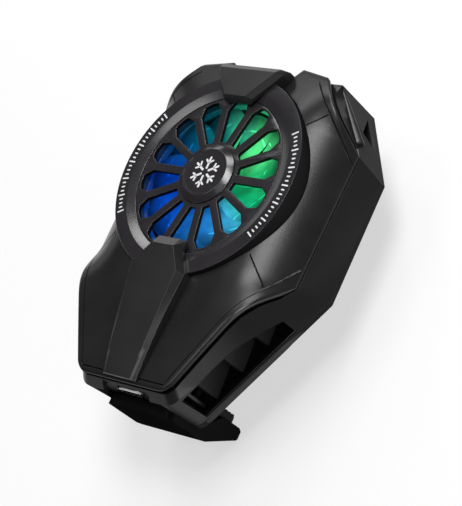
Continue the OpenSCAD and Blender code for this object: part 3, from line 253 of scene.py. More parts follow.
def lit_blades():
    """Clear blades glowing in painted light from the ring of light sources, with painted highlight
    arcs on them.
    """
    s = Shader("blade_glow")
    colour, radius, height = light_colours(s)
    fine = s.noise(0.8, detail=3.0)
    streaks = s.noise(2.6, (1, 1, 3), detail=2.0)
    # painted shade: the glow fades toward the hub and the rim, and gains toward the grille
    fall = s.math("MULTIPLY", s.span(radius, 0.6, 1.1, 7.3, 9.8),
                  s.span(radius, 1.0, 0.2, 12.2, 16.2))
    rise = s.span(height, 0.75, 1.05, 14.2, 18.4)
    glow = s.math("MULTIPLY", s.math("MULTIPLY", fall, rise), s.span(streaks, 0.8, 1.15))
    # painted highlight: a thin bright arc at one radius across the blades
    off = s.math("ABSOLUTE", s.math("SUBTRACT", radius, HIGHLIGHT_ARC_R))
    arc = s.math("MULTIPLY", s.span(off, 1.0, 0.0, 0.0, HIGHLIGHT_ARC_W),
                 s.span(streaks, 0.0, 1.6, 0.42, 0.62))
    s.feed("Base Color", s.blend(fine, (0.001, 0.004, 0.005), (0.002, 0.007, 0.008)))
    s.feed("Emission Color", colour)
    s.feed("Emission Strength", s.math("ADD", glow, arc))
    s.feed("Roughness", s.span(fine, 0.45, 0.55))
    s.set(specular_ior_level=0.0)
    s.bump(streaks, 0.03)
    return s.material


def glow_plastic(name, strength, rough):
    """Plastic that glows in the coloured light: the clear guide and lens carry it, and on the
    grille's flange the glow is painted light from the guide bouncing off its wall.
    """
    s = Shader(name)
    colour, _, _ = light_colours(s)
    fine = s.noise(0.7)
    s.feed("Base Color", s.blend(fine, (0.03, 0.06, 0.07), (0.04, 0.08, 0.09)))
    s.feed("Emission Color", colour)
    s.feed("Emission Strength", s.span(fine, strength * 0.85, strength * 1.15))
    s.feed("Roughness", s.span(fine, rough - 0.06, rough + 0.06))
    s.bump(fine, 0.01)
    return s.material


def board_finish():
    """Green circuit board: copper runs under the lacquer, as straight bands with fine gaps."""
    s = Shader("board_green")
    bricks = s.node("ShaderNodeTexBrick")
    place = s.node("ShaderNodeMapping")
    place.inputs["Scale"].default_value = (420.0, 420.0, 420.0)
    s.link(s.coord, place.inputs["Vector"])
    s.link(place.outputs["Vector"], bricks.inputs["Vector"])
    bricks.inputs["Color1"].default_value = (0.012, 0.11, 0.045, 1.0)
    bricks.inputs["Color2"].default_value = (0.016, 0.15, 0.06, 1.0)
    bricks.inputs["Mortar"].default_value = (0.006, 0.055, 0.025, 1.0)
    bricks.inputs["Mortar Size"].default_value = 0.06
    s.feed("Base Color", bricks.outputs["Color"])
    fine = s.noise(0.4)
    s.feed("Roughness", s.span(fine, 0.28, 0.42))
    s.bump(bricks.outputs["Fac"], 0.02)
    return s.material


def ceramic_finish():
    """White ceramic plates of the cooling module."""
    s = Shader("ceramic_white")
    slow, fine = s.noise(5.0), s.noise(0.3)
    s.feed("Base Color", s.blend(slow, (0.78, 0.77, 0.74), (0.86, 0.85, 0.82)))
    s.feed("Roughness", s.span(fine, 0.5, 0.68))
    s.bump(fine, 0.008)
    return s.material


def print_finish():
    """White screen print."""
    s = Shader("print_white")
    fine = s.noise(0.2)
    s.feed("Base Color", s.blend(fine, (0.78, 0.78, 0.79), (0.88, 0.88, 0.88)))
    s.feed("Roughness", s.span(fine, 0.45, 0.6))
    s.bump(fine, 0.004)
    return s.material


FINISH = {
    "shell_black": moulded("shell_black", (0.0118, 0.0118, 0.0121), 0.3, specular=0.4, wall=0.6),
    # the ring's upright walls keep about a third of its tone: painted shade
    "ring_black": moulded("ring_black", (0.0215, 0.0195, 0.0225), 0.2, grain=0.3, depth=0.002,
                          spread=0.08, specular=0.8, wall=0.55, painted_wall_shade=0.35),
    "trim_black": moulded("trim_black", (0.0118, 0.0118, 0.0121), 0.31, grain=0.3, depth=0.006,
                          specular=0.75),
    "clip_black": moulded("clip_black", (0.0115, 0.0115, 0.012), 0.5, grain=0.45, depth=0.016,
                          specular=0.0),
    # the louvres' black, lighter than the shell's: painted light inside the vent
    "slat_black_painted_light": moulded("slat_black_painted_light", (0.02, 0.02, 0.0205), 0.45, specular=0.15),
    "rubber_black": moulded("rubber_black", (0.010, 0.010, 0.010), 0.72, grain=0.6, depth=0.03),
    "pad_grey": moulded("pad_grey", (0.16, 0.165, 0.17), 0.78, grain=0.5, depth=0.03, spread=0.08),
    "foam_black": moulded("foam_black", (0.016, 0.016, 0.016), 0.9, grain=0.5, depth=0.12),
    "chip_black": moulded("chip_black", (0.02, 0.02, 0.022), 0.5, grain=0.2, depth=0.006),
    "magnet": moulded("magnet", (0.045, 0.043, 0.045), 0.55, grain=0.25, depth=0.01),
    "aluminium": metal("aluminium", (0.72, 0.73, 0.74), 0.36, (1, 0.06, 1)),
    "pellet_alloy": metal("pellet_alloy", (0.36, 0.35, 0.34), 0.45),
    "bronze": metal("bronze", (0.55, 0.36, 0.15), 0.34, (1, 1, 0.08)),
    "copper": metal("copper", (0.72, 0.33, 0.17), 0.28, (0.2, 0.2, 1), grain=0.3, depth=0.02),
    "steel": metal("steel", (0.56, 0.56, 0.57), 0.26, (1, 0.05, 1)),
    # the flange's glow is painted light
    "flange_lit": glow_plastic("flange_lit", 0.1, 0.4),
    # the socket's plated steel is kept dark: painted shade in the socket
    "plated_steel": metal("plated_steel", (0.36, 0.36, 0.36), 0.22, (1, 0.1, 1)),
    # bright tin for the socket's lip: a painted highlight along its top edge
    "bright_tin": metal("bright_tin", (0.86, 0.86, 0.87), 0.3, (0.1, 1, 1), depth=0.002),
    "screw_black": metal("screw_black", (0.06, 0.06, 0.062), 0.38, grain=0.25),
    "ceramic_white": ceramic_finish(),
    "board_green": board_finish(),
    "blade_clear": lit_blades(),
    "guide_clear": glow_plastic("guide_clear", 0.5, 0.3),
    "light_lens": glow_plastic("light_lens", 2.0, 0.25),
    "print_white": print_finish(),
}


# Meshes

def add_piece(name, mesh, body, finish, stands_for=(), sharp=32.0):
    """A new piece: smooth shaded with sharp edges past an angle, riding on a body."""
    mesh.polygons.foreach_set("use_smooth", [True] * len(mesh.polygons))
    mesh.set_sharp_from_angle(angle=math.radians(sharp))
    mesh.materials.clear()
    mesh.materials.append(FINISH[finish])
    piece = bpy.data.objects.new(name, mesh)
    SCENE.collection.objects.link(piece)
    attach(piece, body)
    if stands_for:
        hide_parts(*stands_for)
    return piece


def from_bmesh(name, bm):
    """A mesh in metres from a bmesh in millimetres, which is freed."""
    bmesh.ops.recalc_face_normals(bm, faces=bm.faces)
    bm.transform(Matrix.Scale(MM, 4))
    mesh = bpy.data.meshes.new(name)
    bm.to_mesh(mesh)
    bm.free()
    return mesh


def applied(obj):
    """The mesh of an object with its modifiers, or of a curve; the object goes."""
    deps = bpy.context.evaluated_depsgraph_get()
    mesh = bpy.data.meshes.new_from_object(obj.evaluated_get(deps))
    bpy.data.objects.remove(obj)
    return mesh


def rounded(points, radii, steps=4):
    """A closed polygon with each corner turned into an arc of its radius."""
    out = []
    count = len(points)
    for i, p in enumerate(points):
        r = radii[i] if hasattr(radii, "__len__") else radii
        if r <= 0:
            out.append(tuple(p))
            continue
        p = np.array(p, float)
        a = np.array(points[i - 1], float) - p
        b = np.array(points[(i + 1) % count], float) - p
        la, lb = np.linalg.norm(a), np.linalg.norm(b)
        a, b = a / la, b / lb
        half = math.acos(max(-1.0, min(1.0, float(a @ b)))) / 2
        cut = min(r / math.tan(half), 0.48 * la, 0.48 * lb)
        r = cut * math.tan(half)
        centre = p + (a + b) / np.linalg.norm(a + b) * (r / math.sin(half))
        start, end = p + a * cut - centre, p + b * cut - centre
        sweep = math.acos(max(-1.0, min(1.0, float(start @ end) / (r * r))))
        side = 1 if start[0] * end[1] - start[1] * end[0] > 0 else -1
        for k in range(steps + 1):
            t = side * sweep * k / steps
            c, s = math.cos(t), math.sin(t)
            out.append((centre[0] + c * start[0] - s * start[1],
                        centre[1] + s * start[0] + c * start[1]))
    return out


def lathe(profile, turns=192):
    """A closed profile of radius and height turned round the fan axis."""
    points, faces = [], []
    n = len(profile)
    for i in range(turns):
        a = 2 * math.pi * i / turns
        points += [(r * math.cos(a), r * math.sin(a), z) for r, z in profile]
    for i in range(turns):
        j = (i + 1) % turns
        for k in range(n):
            m = (k + 1) % n
            faces.append((i * n + k, j * n + k, j * n + m, i * n + m))
    bm = bmesh.new()
    rows = [bm.verts.new(p) for p in points]
    for f in faces:
        bm.faces.new([rows[i] for i in f])
    bmesh.ops.remove_doubles(bm, verts=bm.verts, dist=1e-5)
    return bm


# Front cover

def ramp(t):
    """A smooth step from 0 to 1."""
    t = np.clip(t, 0.0, 1.0)
    return t * t * (3 - 2 * t)


def mix(a, b, t):
    return a + (b - a) * t


def deck(x, y):
    """Height of the cover's deck, flat in the middle and falling to tail, head and shoulders."""
    share = (ramp((y + SHOULDER_TAIL_Y + WING_TAIL) / WING_TAIL_RUN)
             * ramp((HEAD_Y - WING_HEAD - y) / WING_HEAD_RUN))
    side = np.maximum(0, (np.abs(x) - FLAT_W) / (SHOULDER_W - FLAT_W)) ** SIDE_POWER
    tail = np.maximum(0, (-y - TAIL_Y + TAIL_RUN) / TAIL_RUN) ** TAIL_POWER
    head = np.maximum(0, (y - HEAD_Y + HEAD_RUN) / HEAD_RUN) ** HEAD_POWER
    return DECK_Z - TAIL_FALL * tail - HEAD_FALL * head - SIDE_FALL * share * side


def half_width(y):
    """Half the cover's width, with round tail corners."""
    straight = np.interp(y, [-TAIL_Y, -SHOULDER_TAIL_Y, SHOULDER_HEAD_Y, HEAD_Y],
                         [TAIL_W, SHOULDER_W, SHOULDER_W + 0.5, HEAD_W])
    d = np.minimum(TAIL_CORNER, y + TAIL_Y)
    arc = np.sqrt(np.maximum(0, TAIL_CORNER ** 2 - (TAIL_CORNER - d) ** 2))
    return straight - TAIL_CORNER + arc


def at_shoulder(y):
    """1 along the shoulders, where the cover's edge is finer, and 0 at the tail and head."""
    run = 2.5
    return ramp((y + SHOULDER_TAIL_Y + run) / run) * ramp((SHOULDER_HEAD_Y + run - y) / run)


# The cover's edge along the shoulders: width, drop, tuck of the rim and depth of the rim
FINE_W, FINE_H, FINE_TUCK, FINE_RIM = 0.3, 0.15, 0.1, 0.35
TUCK = 0.22


def cover_points(c, y):
    """Outer skin, rim and inner skin of the cover at column c and row y."""
    flat = at_shoulder(y)
    w = mix(EDGE_W, FINE_W, flat)
    h = half_width(y)
    a = np.abs(c)
    x = np.sign(c) * np.where(a <= 1, a * (h - w), h - w + (a - 1) * w)
    fall = np.where(a <= 1, mix(1, EAR_END, (a - EAR_PEAK) / EAR_FADE), EAR_END * (2 - a))
    ear = np.where(a <= EAR_IN, 0, np.where(a <= EAR_PEAK, (a - EAR_IN) / EAR_RISE, fall))
    v = y + EAR_REACH * ear * ramp((y - HEAD_Y + EAR_RUN) / EAR_RUN)
    e = np.minimum(np.minimum(h - np.abs(x), y + TAIL_Y), HEAD_Y - y)
    inside = np.clip(1 - e / w, 0, 1)
    drop = mix(EDGE_H, FINE_H, flat) * (1 - np.sqrt(np.maximum(0, 1 - inside ** 2)))
    top = deck(x, v)
    ix = x * (1 - COVER_T / h)
    iv = v * (1 - COVER_T / np.where(v < 0, TAIL_Y, HEAD_Y))
    outer = np.stack([x, v, top - drop], -1)
    tuck = mix(TUCK, FINE_TUCK, flat)
    rim = np.stack([x * (1 - tuck / h), v * (1 - tuck / np.where(v < 0, TAIL_Y, HEAD_Y)),
                    top - mix(COVER_T, FINE_RIM, flat)], -1)
    inner = np.stack([ix, iv, deck(ix, iv) - COVER_T], -1)
    return outer, rim, inner


def steps_between(a, b, size):
    """Even steps of about a size from a to b, without a itself."""
    count = max(1, round(abs(b - a) / size))
    return list(np.linspace(a, b, count + 1))[1:]


GROOVE_W, GROOVE_DEEP, GROOVE_FADE = 0.36, 0.3, 0.5

# Seams of the cover's panels on the right: two points in plan, and which ends fade out
SEAMS = [
    ((0, -45.9), (12.0, -45.9), (False, False)),
    ((12.0, -45.9), (12.35, -45.0), (False, False)),
    ((12.35, -45.0), (28.2, -14.2), (False, True)),
    ((19.5, -15.3), (24.4, -20.8), (False, False)),
    ((16.7, 25.1), (22.6, 18.7), (True, False)),
    ((22.6, 18.7), (28.9, 10.1), (False, True)),
    ((18.9, 14.7), (22.6, 18.4), (False, False)),
]


def cut_groove(bm, p, q, ends):
    """A V groove in the cover's outer skin along the plan line from p to q, on both sides."""
    for side in (-1, 1):
        a, b = Vector((side * p[0], p[1], 0)), Vector((side * q[0], q[1], 0))
        along = (b - a).normalized()
        length = (b - a).length
        across = Vector((-along.y, along.x, 0))
        for shift in (-GROOVE_W / 2, 0, GROOVE_W / 2):
            near = []
            for f in bm.faces:
                d = f.calc_center_median() - a
                close = abs(d.dot(across)) < 1.4 and -0.2 < d.dot(along) < length + 0.2
                if close and f.normal.z > 0.2:
                    near.append(f)
            edges = {e for f in near for e in f.edges}
            verts = {v for f in near for v in f.verts}
            bmesh.ops.bisect_plane(bm, geom=near + list(edges) + list(verts), dist=1e-4,
                                   plane_co=a + across * shift, plane_no=across)
        for v in bm.verts:
            d = v.co - a
            s = d.dot(along)
            if abs(d.dot(across)) < 2e-4 and -1e-3 <= s <= length + 1e-3 and v.normal.z > 0.2:
                from_start = s / GROOVE_FADE if ends[0] else 1.0
                to_end = (length - s) / GROOVE_FADE if ends[1] else 1.0
                v.co.z -= GROOVE_DEEP * max(0.0, min(1.0, from_start, to_end))


def make_cover():
    """The cover as a grid of rows and columns, opened for the ring and grooved."""
    w = EDGE_W
    near_edge = [0, 0.06, 0.15, 0.28, 0.45, 0.7]
    rows = [-TAIL_Y + k * w for k in near_edge] + [-TAIL_Y + w]
    rows += steps_between(-TAIL_Y + w, -SHOULDER_TAIL_Y, 0.55)
    rows += steps_between(-SHOULDER_TAIL_Y, SHOULDER_HEAD_Y, 0.6)
    rows += steps_between(SHOULDER_HEAD_Y, HEAD_Y - w, 0.5)
    rows += [HEAD_Y - k * w for k in reversed(near_edge)]
    half = [0.0] + steps_between(0, 0.5, 0.024) + [0.535, 0.57] + steps_between(0.57, 1, 0.022)
    half += [1.3, 1.55, 1.72, 1.85, 1.94, 2.0]
    cols = [-c for c in reversed(half[1:])] + half
    c, y = np.meshgrid(np.array(cols), np.array(rows))
    outer, rim, inner = cover_points(c, y)
    nr, nc = c.shape
    bm = bmesh.new()
    grids = []
    for skin in (outer, inner):
        grids.append([[bm.verts.new(skin[i, j]) for j in range(nc)] for i in range(nr)])
    for grid, flip in zip(grids, (False, True)):
        for i in range(nr - 1):
            for j in range(nc - 1):
                quad = [grid[i][j], grid[i][j + 1], grid[i + 1][j + 1], grid[i + 1][j]]
                bm.faces.new(quad[::-1] if flip else quad)
    loop = [(0, j) for j in range(nc - 1)] + [(i, nc - 1) for i in range(nr - 1)]
    loop += [(nr - 1, j) for j in range(nc - 1, 0, -1)] + [(i, 0) for i in range(nr - 1, 0, -1)]
    rims = [bm.verts.new(rim[i, j]) for i, j in loop]
    for k, (i, j) in enumerate(loop):
        m = (k + 1) % len(loop)
        i2, j2 = loop[m]
        bm.faces.new([grids[0][i2][j2], grids[0][i][j], rims[k], rims[m]])
        bm.faces.new([rims[m], rims[k], grids[1][i][j], grids[1][i2][j2]])
    bmesh.ops.recalc_face_normals(bm, faces=bm.faces)

    # the round opening for the ring
    base = bpy.data.objects.new("cover_base", bpy.data.meshes.new("cover_base"))
    bm.to_mesh(base.data)
    bm.free()
    disc = lathe([(0, 5), (RING_R + 0.15, 5), (RING_R + 0.15, 40), (0, 40)], 160)
    bmesh.ops.recalc_face_normals(disc, faces=disc.faces)
    tool = bpy.data.objects.new("cover_tool", bpy.data.meshes.new("cover_tool"))
    disc.to_mesh(tool.data)
    disc.free()
    for o in (base, tool):
        SCENE.collection.objects.link(o)
    cut = base.modifiers.new("opening", "BOOLEAN")
    cut.operation, cut.solver, cut.object = "DIFFERENCE", "EXACT", tool
    bpy.context.view_layer.update()
    mesh = applied(base)
    bpy.data.objects.remove(tool)

    # seams of the panels
    bm = bmesh.new()
    bm.from_mesh(mesh)
    bpy.data.meshes.remove(mesh)
    bm.normal_update()
    for start, end, ends in SEAMS:
        cut_groove(bm, start, end, ends)
    return from_bmesh("front_cover_skin", bm)


# Ring, grille and hub

def make_ring():
    """The ring, with a chamfer down to the grille and a flat for the ticks."""
    seat = WEB_LOW + 0.05
    profile = [(RING_IN, 20.35), (RING_CHAMFER, RING_TOP), (23.6, RING_TOP), (RING_R, 20.8),
               (RING_R, RING_LOW), (RING_SEAT, RING_LOW), (RING_SEAT, seat), (RING_IN, seat)]
    radii = [0.12, 0.25, 0.05, 0.05, 0.15, 0.1, 0.05, 0.1]
    return from_bmesh("ring_lathe", lathe(rounded(profile, radii), 240))


def petal_outline():
    """One petal opening along +Y, with its corners rounded."""
    half = math.pi / PETALS
    edge = SPOKE / 2 / math.cos(half)
    cut_r = PETAL_OUT - 2.6
    in_x = PETAL_IN * math.tan(half) - edge
    cut_x = cut_r * math.tan(half) - edge
    out_x = cut_x - 0.9
    corners = [(-in_x, PETAL_IN), (in_x, PETAL_IN), (cut_x, cut_r), (out_x, PETAL_OUT - 0.25),
               (0, PETAL_OUT), (-out_x, PETAL_OUT - 0.25), (-cut_x, cut_r)]
    return rounded(corners, [0.3, 0.3, 0.7, 0.7, 2.0, 0.7, 0.7], 4)


def make_grille():
    """The web with its petal openings, filled between flat curves."""
    curve = bpy.data.curves.new("grille_curve", "CURVE")
    curve.dimensions, curve.fill_mode = "2D", "BOTH"
    bevel = 0.08
    curve.extrude = ((GRILLE_TOP - WEB_LOW) / 2 - bevel) * MM
    curve.bevel_depth, curve.bevel_resolution, curve.offset = bevel * MM, 2, -bevel * MM
    steps = [2 * math.pi * i / 168 for i in range(168)]
    loops = [[(GRILLE_R * math.cos(a), GRILLE_R * math.sin(a)) for a in steps]]
    petal = petal_outline()
    for i in range(PETALS):
        c, s = math.cos(2 * math.pi * i / PETALS), math.sin(2 * math.pi * i / PETALS)
        loops.append([(x * c - y * s, x * s + y * c) for x, y in petal])
    for loop in loops:
        spline = curve.splines.new("POLY")
        spline.points.add(len(loop) - 1)
        for point, (x, y) in zip(spline.points, loop):
            point.co = (x * MM, y * MM, 0, 1)
        spline.use_cyclic_u = True
    obj = bpy.data.objects.new("grille_curve", curve)
    SCENE.collection.objects.link(obj)
    bpy.context.view_layer.update()
    bm = bmesh.new()
    mesh = applied(obj)
    bm.from_mesh(mesh)
    bm.transform(Matrix.Scale(1 / MM, 4))
    bmesh.ops.translate(bm, verts=bm.verts, vec=(0, 0, (WEB_LOW + GRILLE_TOP) / 2))
    bmesh.ops.remove_doubles(bm, verts=bm.verts, dist=1e-4)
    return from_bmesh("grille_web", bm)


def make_flange():
    """The flange under the web, whose glow is painted light: the guide's light bouncing off its
    inner wall.
    """
    profile = [(18.05, FLANGE_LOW), (21.6, FLANGE_LOW), (21.6, WEB_LOW), (18.05, WEB_LOW)]
    return from_bmesh("grille_flange", lathe(rounded(profile, 0.1, 2), 168))


def make_hub():
    """The hub's cap: a cone with a slightly dished top."""
    z = GRILLE_TOP
    profile = [(0.0, z), (6.9, z), (6.9, z + 0.3), (5.5, z + 1.1), (4.9, z + 1.02), (0.0, z + 1.06)]
    return from_bmesh("hub_lathe", lathe(rounded(profile, [0, 0.02, 0.2, 0.22, 0.3, 0], 4), 128))


def flat_bars(bars, z, height):
    """Thin bars printed on a face: each is a start, an end and a width, with bevelled ends."""
    bm = bmesh.new()
    for (x0, y0), (x1, y1), wide in bars:
        a, b = np.array((x0, y0)), np.array((x1, y1))
        u = (b - a) / np.linalg.norm(b - a)
        n = np.array((-u[1], u[0])) * wide / 2
        c = u * wide * 0.3
        ring = [a + n + c, a + 0.4 * n, a - 0.4 * n, a - n + c,
                b - n - c, b - 0.4 * n, b + 0.4 * n, b + n - c]
        low = [bm.verts.new((p[0], p[1], z)) for p in ring]
        high = [bm.verts.new((p[0], p[1], z + height)) for p in ring]
        bm.faces.new(high)
        bm.faces.new(low[::-1])
        for k in range(len(ring)):
            m = (k + 1) % len(ring)
            bm.faces.new([low[k], low[m], high[m], high[k]])
    return bm


def make_mark():
    """A plain six-armed frost star on the hub."""
    bars = []
    for i in range(6):
        a = math.radians(60 * i + 30)
        d = np.array((math.cos(a), math.sin(a)))
        bars.append((tuple(0.75 * d), tuple(3.7 * d), 0.5))
        for turn in (-1, 1):
            b = a + turn * math.radians(52)
            e = np.array((math.cos(b), math.sin(b)))
            bars.append((tuple(2.15 * d + 0.12 * e), tuple(2.15 * d + 1.35 * e), 0.42))
    return from_bmesh("hub_mark_bars", flat_bars(bars, GRILLE_TOP + 1.03, 0.07))


def make_ticks():
    """Plain index ticks on the flat of the ring, along two arcs."""
    count, wide = 25, 0.34
    bars = []
    for start, end in ((148, 212), (-32, 32)):
        for i in range(count):
            a = math.radians(start + (end - start) * i / (count - 1))
            near, far = (21.35, 23.05) if i % 4 == 0 else (21.75, 22.65)
            d = np.array((math.cos(a), math.sin(a)))
            bars.append((tuple(near * d), tuple(far * d), wide))
    return from_bmesh("ring_tick_bars", flat_bars(bars, RING_TOP - 0.02, 0.05))


# Mouldings on the case

def loft(rows):
    """A solid through rows of points, with closed ends."""
    bm = bmesh.new()
    rings = [[bm.verts.new(p) for p in row] for row in rows]
    for a, b in zip(rings, rings[1:]):
        for k in range(len(a)):
            m = (k + 1) % len(a)
            bm.faces.new([a[k], a[m], b[m], b[k]])
    bm.faces.new(rings[0][::-1])
    bm.faces.new(rings[-1])
    return bm


def moulding(rows, edge=0.07):
    """A solid through rows of points, with slightly rounded edges."""
    bm = loft(rows)
    bmesh.ops.recalc_face_normals(bm, faces=bm.faces)
    sharp = [e for e in bm.edges if e.calc_face_angle(0.0) > math.radians(25)]
    bmesh.ops.bevel(bm, geom=sharp, offset=edge, segments=2, affect="EDGES", profile=0.5)
    return bm


def section(place, out, side, shape):
    """Points of a cross-section at a place, from distances outward and heights.

    side is 1 on the right and -1 on the left.
    """
    return [(side * (place[0] + d * out[0]), place[1] + d * out[1], z) for d, z in shape]


def make_ledge(side):
    """The narrow sloped ledge below the cover's edge on a head flank."""
    start, end = np.array((29.0, SHOULDER_HEAD_Y)), np.array((HEAD_W, HEAD_Y))
    along = (end - start) / np.linalg.norm(end - start)
    out = (along[1], -along[0])
    rows = []
    for t in np.linspace(0.2, 0.88, 18):
        edge, brow, z = mix(1.5, 1.74, t), mix(0.0, 1.55, t), mix(9.9, 16.35, t)
        high = z + 0.5 * (edge - brow)
        shape = [(-0.5, high - 0.45), (brow, high), (edge, z), (edge - 0.3, z - 1.3),
                 (-0.5, z - 1.3)]
        rows.append(section(mix(start, end, t), out, side, shape))
    return from_bmesh("head_ledge", moulding(rows))


def make_rail(side):
    """The sloped rail along the lower edge of a tail vent."""
    start, end = np.array((10.9, -48.7)), np.array((29.7, -16.4))
    along = (end - start) / np.linalg.norm(end - start)
    out = (along[1], -along[0])
    first, last, reach = 0.055, 0.8, 0.42
    rows = []
    for u in np.linspace(first, last, 30):
        e = reach * min(1.0, (last - u) / 0.14 + 0.02, (u - first) / 0.02 + 0.3)
        shape = [(-0.6, 3.25), (-0.32, 3.3), (e, 1.65), (e, 1.5), (-0.6, 1.3)]
        rows.append(section(mix(start, end, u), out, side, shape))
    return from_bmesh("vent_rail", moulding(rows))


def make_lip():
    """The folded lip along the top of the socket's mouth, in a brighter metal than the socket: a
    painted highlight.
    """
    shape = [(-47.6, 14.2), (-47.98, 14.2), (-47.98, 14.42), (-47.72, 14.68), (-47.5, 14.68)]
    rows = []
    for x in np.linspace(-3.1, 3.1, 9):
        sag = 0.25 * max(0.0, abs(x) - 2.5)
        rows.append([(x, y, z - sag) for y, z in shape])
    return from_bmesh("socket_lip", moulding(rows, 0.03))


# Fan

def make_impeller():
    """Cup and nine curved, tapering blades with rounded edges."""
    cup = [(6.55, 13.6), (7.2, 13.6), (7.2, 18.9), (0.0, 18.9), (0.0, 17.8), (6.55, 17.8)]
    bm = lathe(rounded(cup, [0.1, 0.1, 0.35, 0, 0, 0.1], 3), 96)
    around, outward = 22, 14
    for b in range(BLADES):
        start = 2 * math.pi * b / BLADES
        top, low = [], []
        for i in range(outward + 1):
            t = i / outward
            r = mix(BLADE_IN, BLADE_OUT, t)
            trim = 0.05 * max(0.0, t - 0.86) / 0.14
            ups, downs = [], []
            for k in range(around + 1):
                s = mix(trim, 1 - trim, k / around)
                a = start + math.radians(18 * t * t + 60 * s - 6)
                x, y = r * math.cos(a), r * math.sin(a)
                pitch = 2.2 * math.cos(math.pi * s) * (0.88 + 0.12 * t)
                z = BLADE_MID + pitch + 0.1 * math.sin(math.pi * t)
                full = math.sqrt(max(0.0, 1 - (2 * k / around - 1) ** 6))
                thick = 0.36 * full * (1 - 0.25 * t) + 0.03
                ups.append(bm.verts.new((x, y, min(z + thick, BLADE_TOP))))
                downs.append(bm.verts.new((x, y, max(z - thick, BLADE_LOW))))
            top.append(ups)
            low.append(downs)
        for i in range(outward):
            for k in range(around):
                bm.faces.new([top[i][k], top[i + 1][k], top[i + 1][k + 1], top[i][k + 1]])
                bm.faces.new([low[i][k], low[i][k + 1], low[i + 1][k + 1], low[i + 1][k]])
            for k, flip in ((0, False), (around, True)):
                quad = [top[i][k], low[i][k], low[i + 1][k], top[i + 1][k]]
                bm.faces.new(quad[::-1] if flip else quad)
        for i, flip in ((0, True), (outward, False)):
            for k in range(around):
                quad = [top[i][k], low[i][k], low[i][k + 1], top[i][k + 1]]
                bm.faces.new(quad[::-1] if flip else quad)
    return from_bmesh("impeller_blades", bm)


def make_spring(side):
    """A compression spring of round wire with closed ends, along Y."""
    turns, mean, wire, y0, y1 = 8, 1.75, 0.25, -24.45, -45.85
    count, sides = 32 * turns, 10
    along = np.array((0, 1, 0))
    rows = []
    for i in range(count + 1):
        t = i / count
        a = 2 * math.pi * turns * t
        y = mix(y0 - wire, y1 + wire, t)
        out = np.array((math.cos(a), 0.0, math.sin(a)))
        centre = np.array((side * 5.5, y, 6.7)) + mean * out
        steps = [2 * math.pi * k / sides for k in range(sides)]
        rows.append([centre + wire * (math.cos(b) * out + math.sin(b) * along) for b in steps])
    return from_bmesh("spring_wire", loft(rows))


# Carried-over CAD pieces: soft edges by modifiers, and the finish of their slot

def smooth_group():
    """A node group that shades a mesh smooth, for the modifiers of the CAD nodes."""
    group = bpy.data.node_groups.new("shade_smooth", "GeometryNodeTree")
    group.interface.new_socket("Geometry", in_out="INPUT", socket_type="NodeSocketGeometry")
    group.interface.new_socket("Geometry", in_out="OUTPUT", socket_type="NodeSocketGeometry")
    start, end = group.nodes.new("NodeGroupInput"), group.nodes.new("NodeGroupOutput")
    smooth = group.nodes.new("GeometryNodeSetShadeSmooth")
    group.links.new(start.outputs[0], smooth.inputs["Geometry"])
    group.links.new(smooth.outputs[0], end.inputs[0])
    return group


SMOOTH = smooth_group()


def soften(node, width, segments=3, angle=28.0):
    """Rounds the edges of a CAD node with modifiers; its own mesh stays as it is."""
    obj = NODES[node]
    weld = obj.modifiers.new("weld", "WELD")
    weld.merge_threshold = 2e-6
    flat = obj.modifiers.new("flat", "DECIMATE")
    flat.decimate_type, flat.angle_limit = "DISSOLVE", math.radians(0.4)
    smooth = obj.modifiers.new("smooth", "NODES")
    smooth.node_group = SMOOTH
    bevel = obj.modifiers.new("edges", "BEVEL")
    bevel.width, bevel.segments = width * MM, segments
    bevel.limit_method, bevel.angle_limit = "ANGLE", math.radians(angle)
    bevel.use_clamp_overlap, bevel.harden_normals = True, True
    normals = obj.modifiers.new("normals", "WEIGHTED_NORMAL")
    normals.keep_sharp, normals.weight = True, 60


# Radius of the soft edges on each CAD node that shows
SOFT_EDGES = {
    "mid_frame": 0.22, "back_cover": 0.3, "tail_spine": 0.07, "head_wedge": 0.1,
    "slider_clip": 0.3, "head_claw": 0.3, "slider_pad": 0.14, "claw_pad": 0.14,
    "left_vent_slats": 0.12, "right_vent_slats": 0.12, "cold_plate": 0.15,
    "contact_pad": 0.12, "heat_sink": 0.06, "fan_frame": 0.12,
}


def finish_nodes():
    """Gives each CAD node the finish of its slot; the louvres have a lighter copy of the black,
    painted light on them deep in the vent.
    """
    for name, obj in NODES.items():
        slot = obj.data.materials[0].name.split(".")[0]
        finish = "slat_black_painted_light" if name.endswith("vent_slats") else slot
        obj.material_slots[0].link = "OBJECT"
        obj.material_slots[0].material = FINISH[finish]
    for name, width in SOFT_EDGES.items():
        soften(name, width)


def make_pieces():
    """The pieces that stand for CAD nodes, and the thin trim on them."""
    add_piece("front_cover_skin", make_cover(), "case", "shell_black",
              ["front_cover"], 28)
    add_piece("ring_bezel_turned", make_ring(), "case", "ring_black",
              ["ring_bezel"], 40)
    add_piece("fan_grille_web", make_grille(), "case", "ring_black",
              ["fan_grille"], 40)
    add_piece("fan_grille_flange", make_flange(), "case", "flange_lit", (), 40)
    add_piece("hub_cap_turned", make_hub(), "case", "ring_black", ["hub_cap"], 50)
    add_piece("hub_mark", make_mark(), "case", "print_white", (), 40)
    add_piece("ring_ticks", make_ticks(), "case", "print_white", (), 40)
    add_piece("fan_impeller_blades", make_impeller(), "rotor", "blade_clear",
              ["fan_impeller"], 60)
    add_piece("usb_lip", make_lip(), "case", "bright_tin", (), 40)
    for side, name in ((-1, "left"), (1, "right")):
        add_piece(name + "_head_ledge", make_ledge(side), "case", "shell_black",
                  (), 35)
        add_piece(name + "_vent_rail", make_rail(side), "case", "shell_black",
                  (), 35)
    for side, name in ((-1, "left_spring"), (1, "right_spring")):
        coil = add_piece(name + "_coil", make_spring(side), "case", "steel", [name], 60)
        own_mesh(coil)


# Floor, light and world

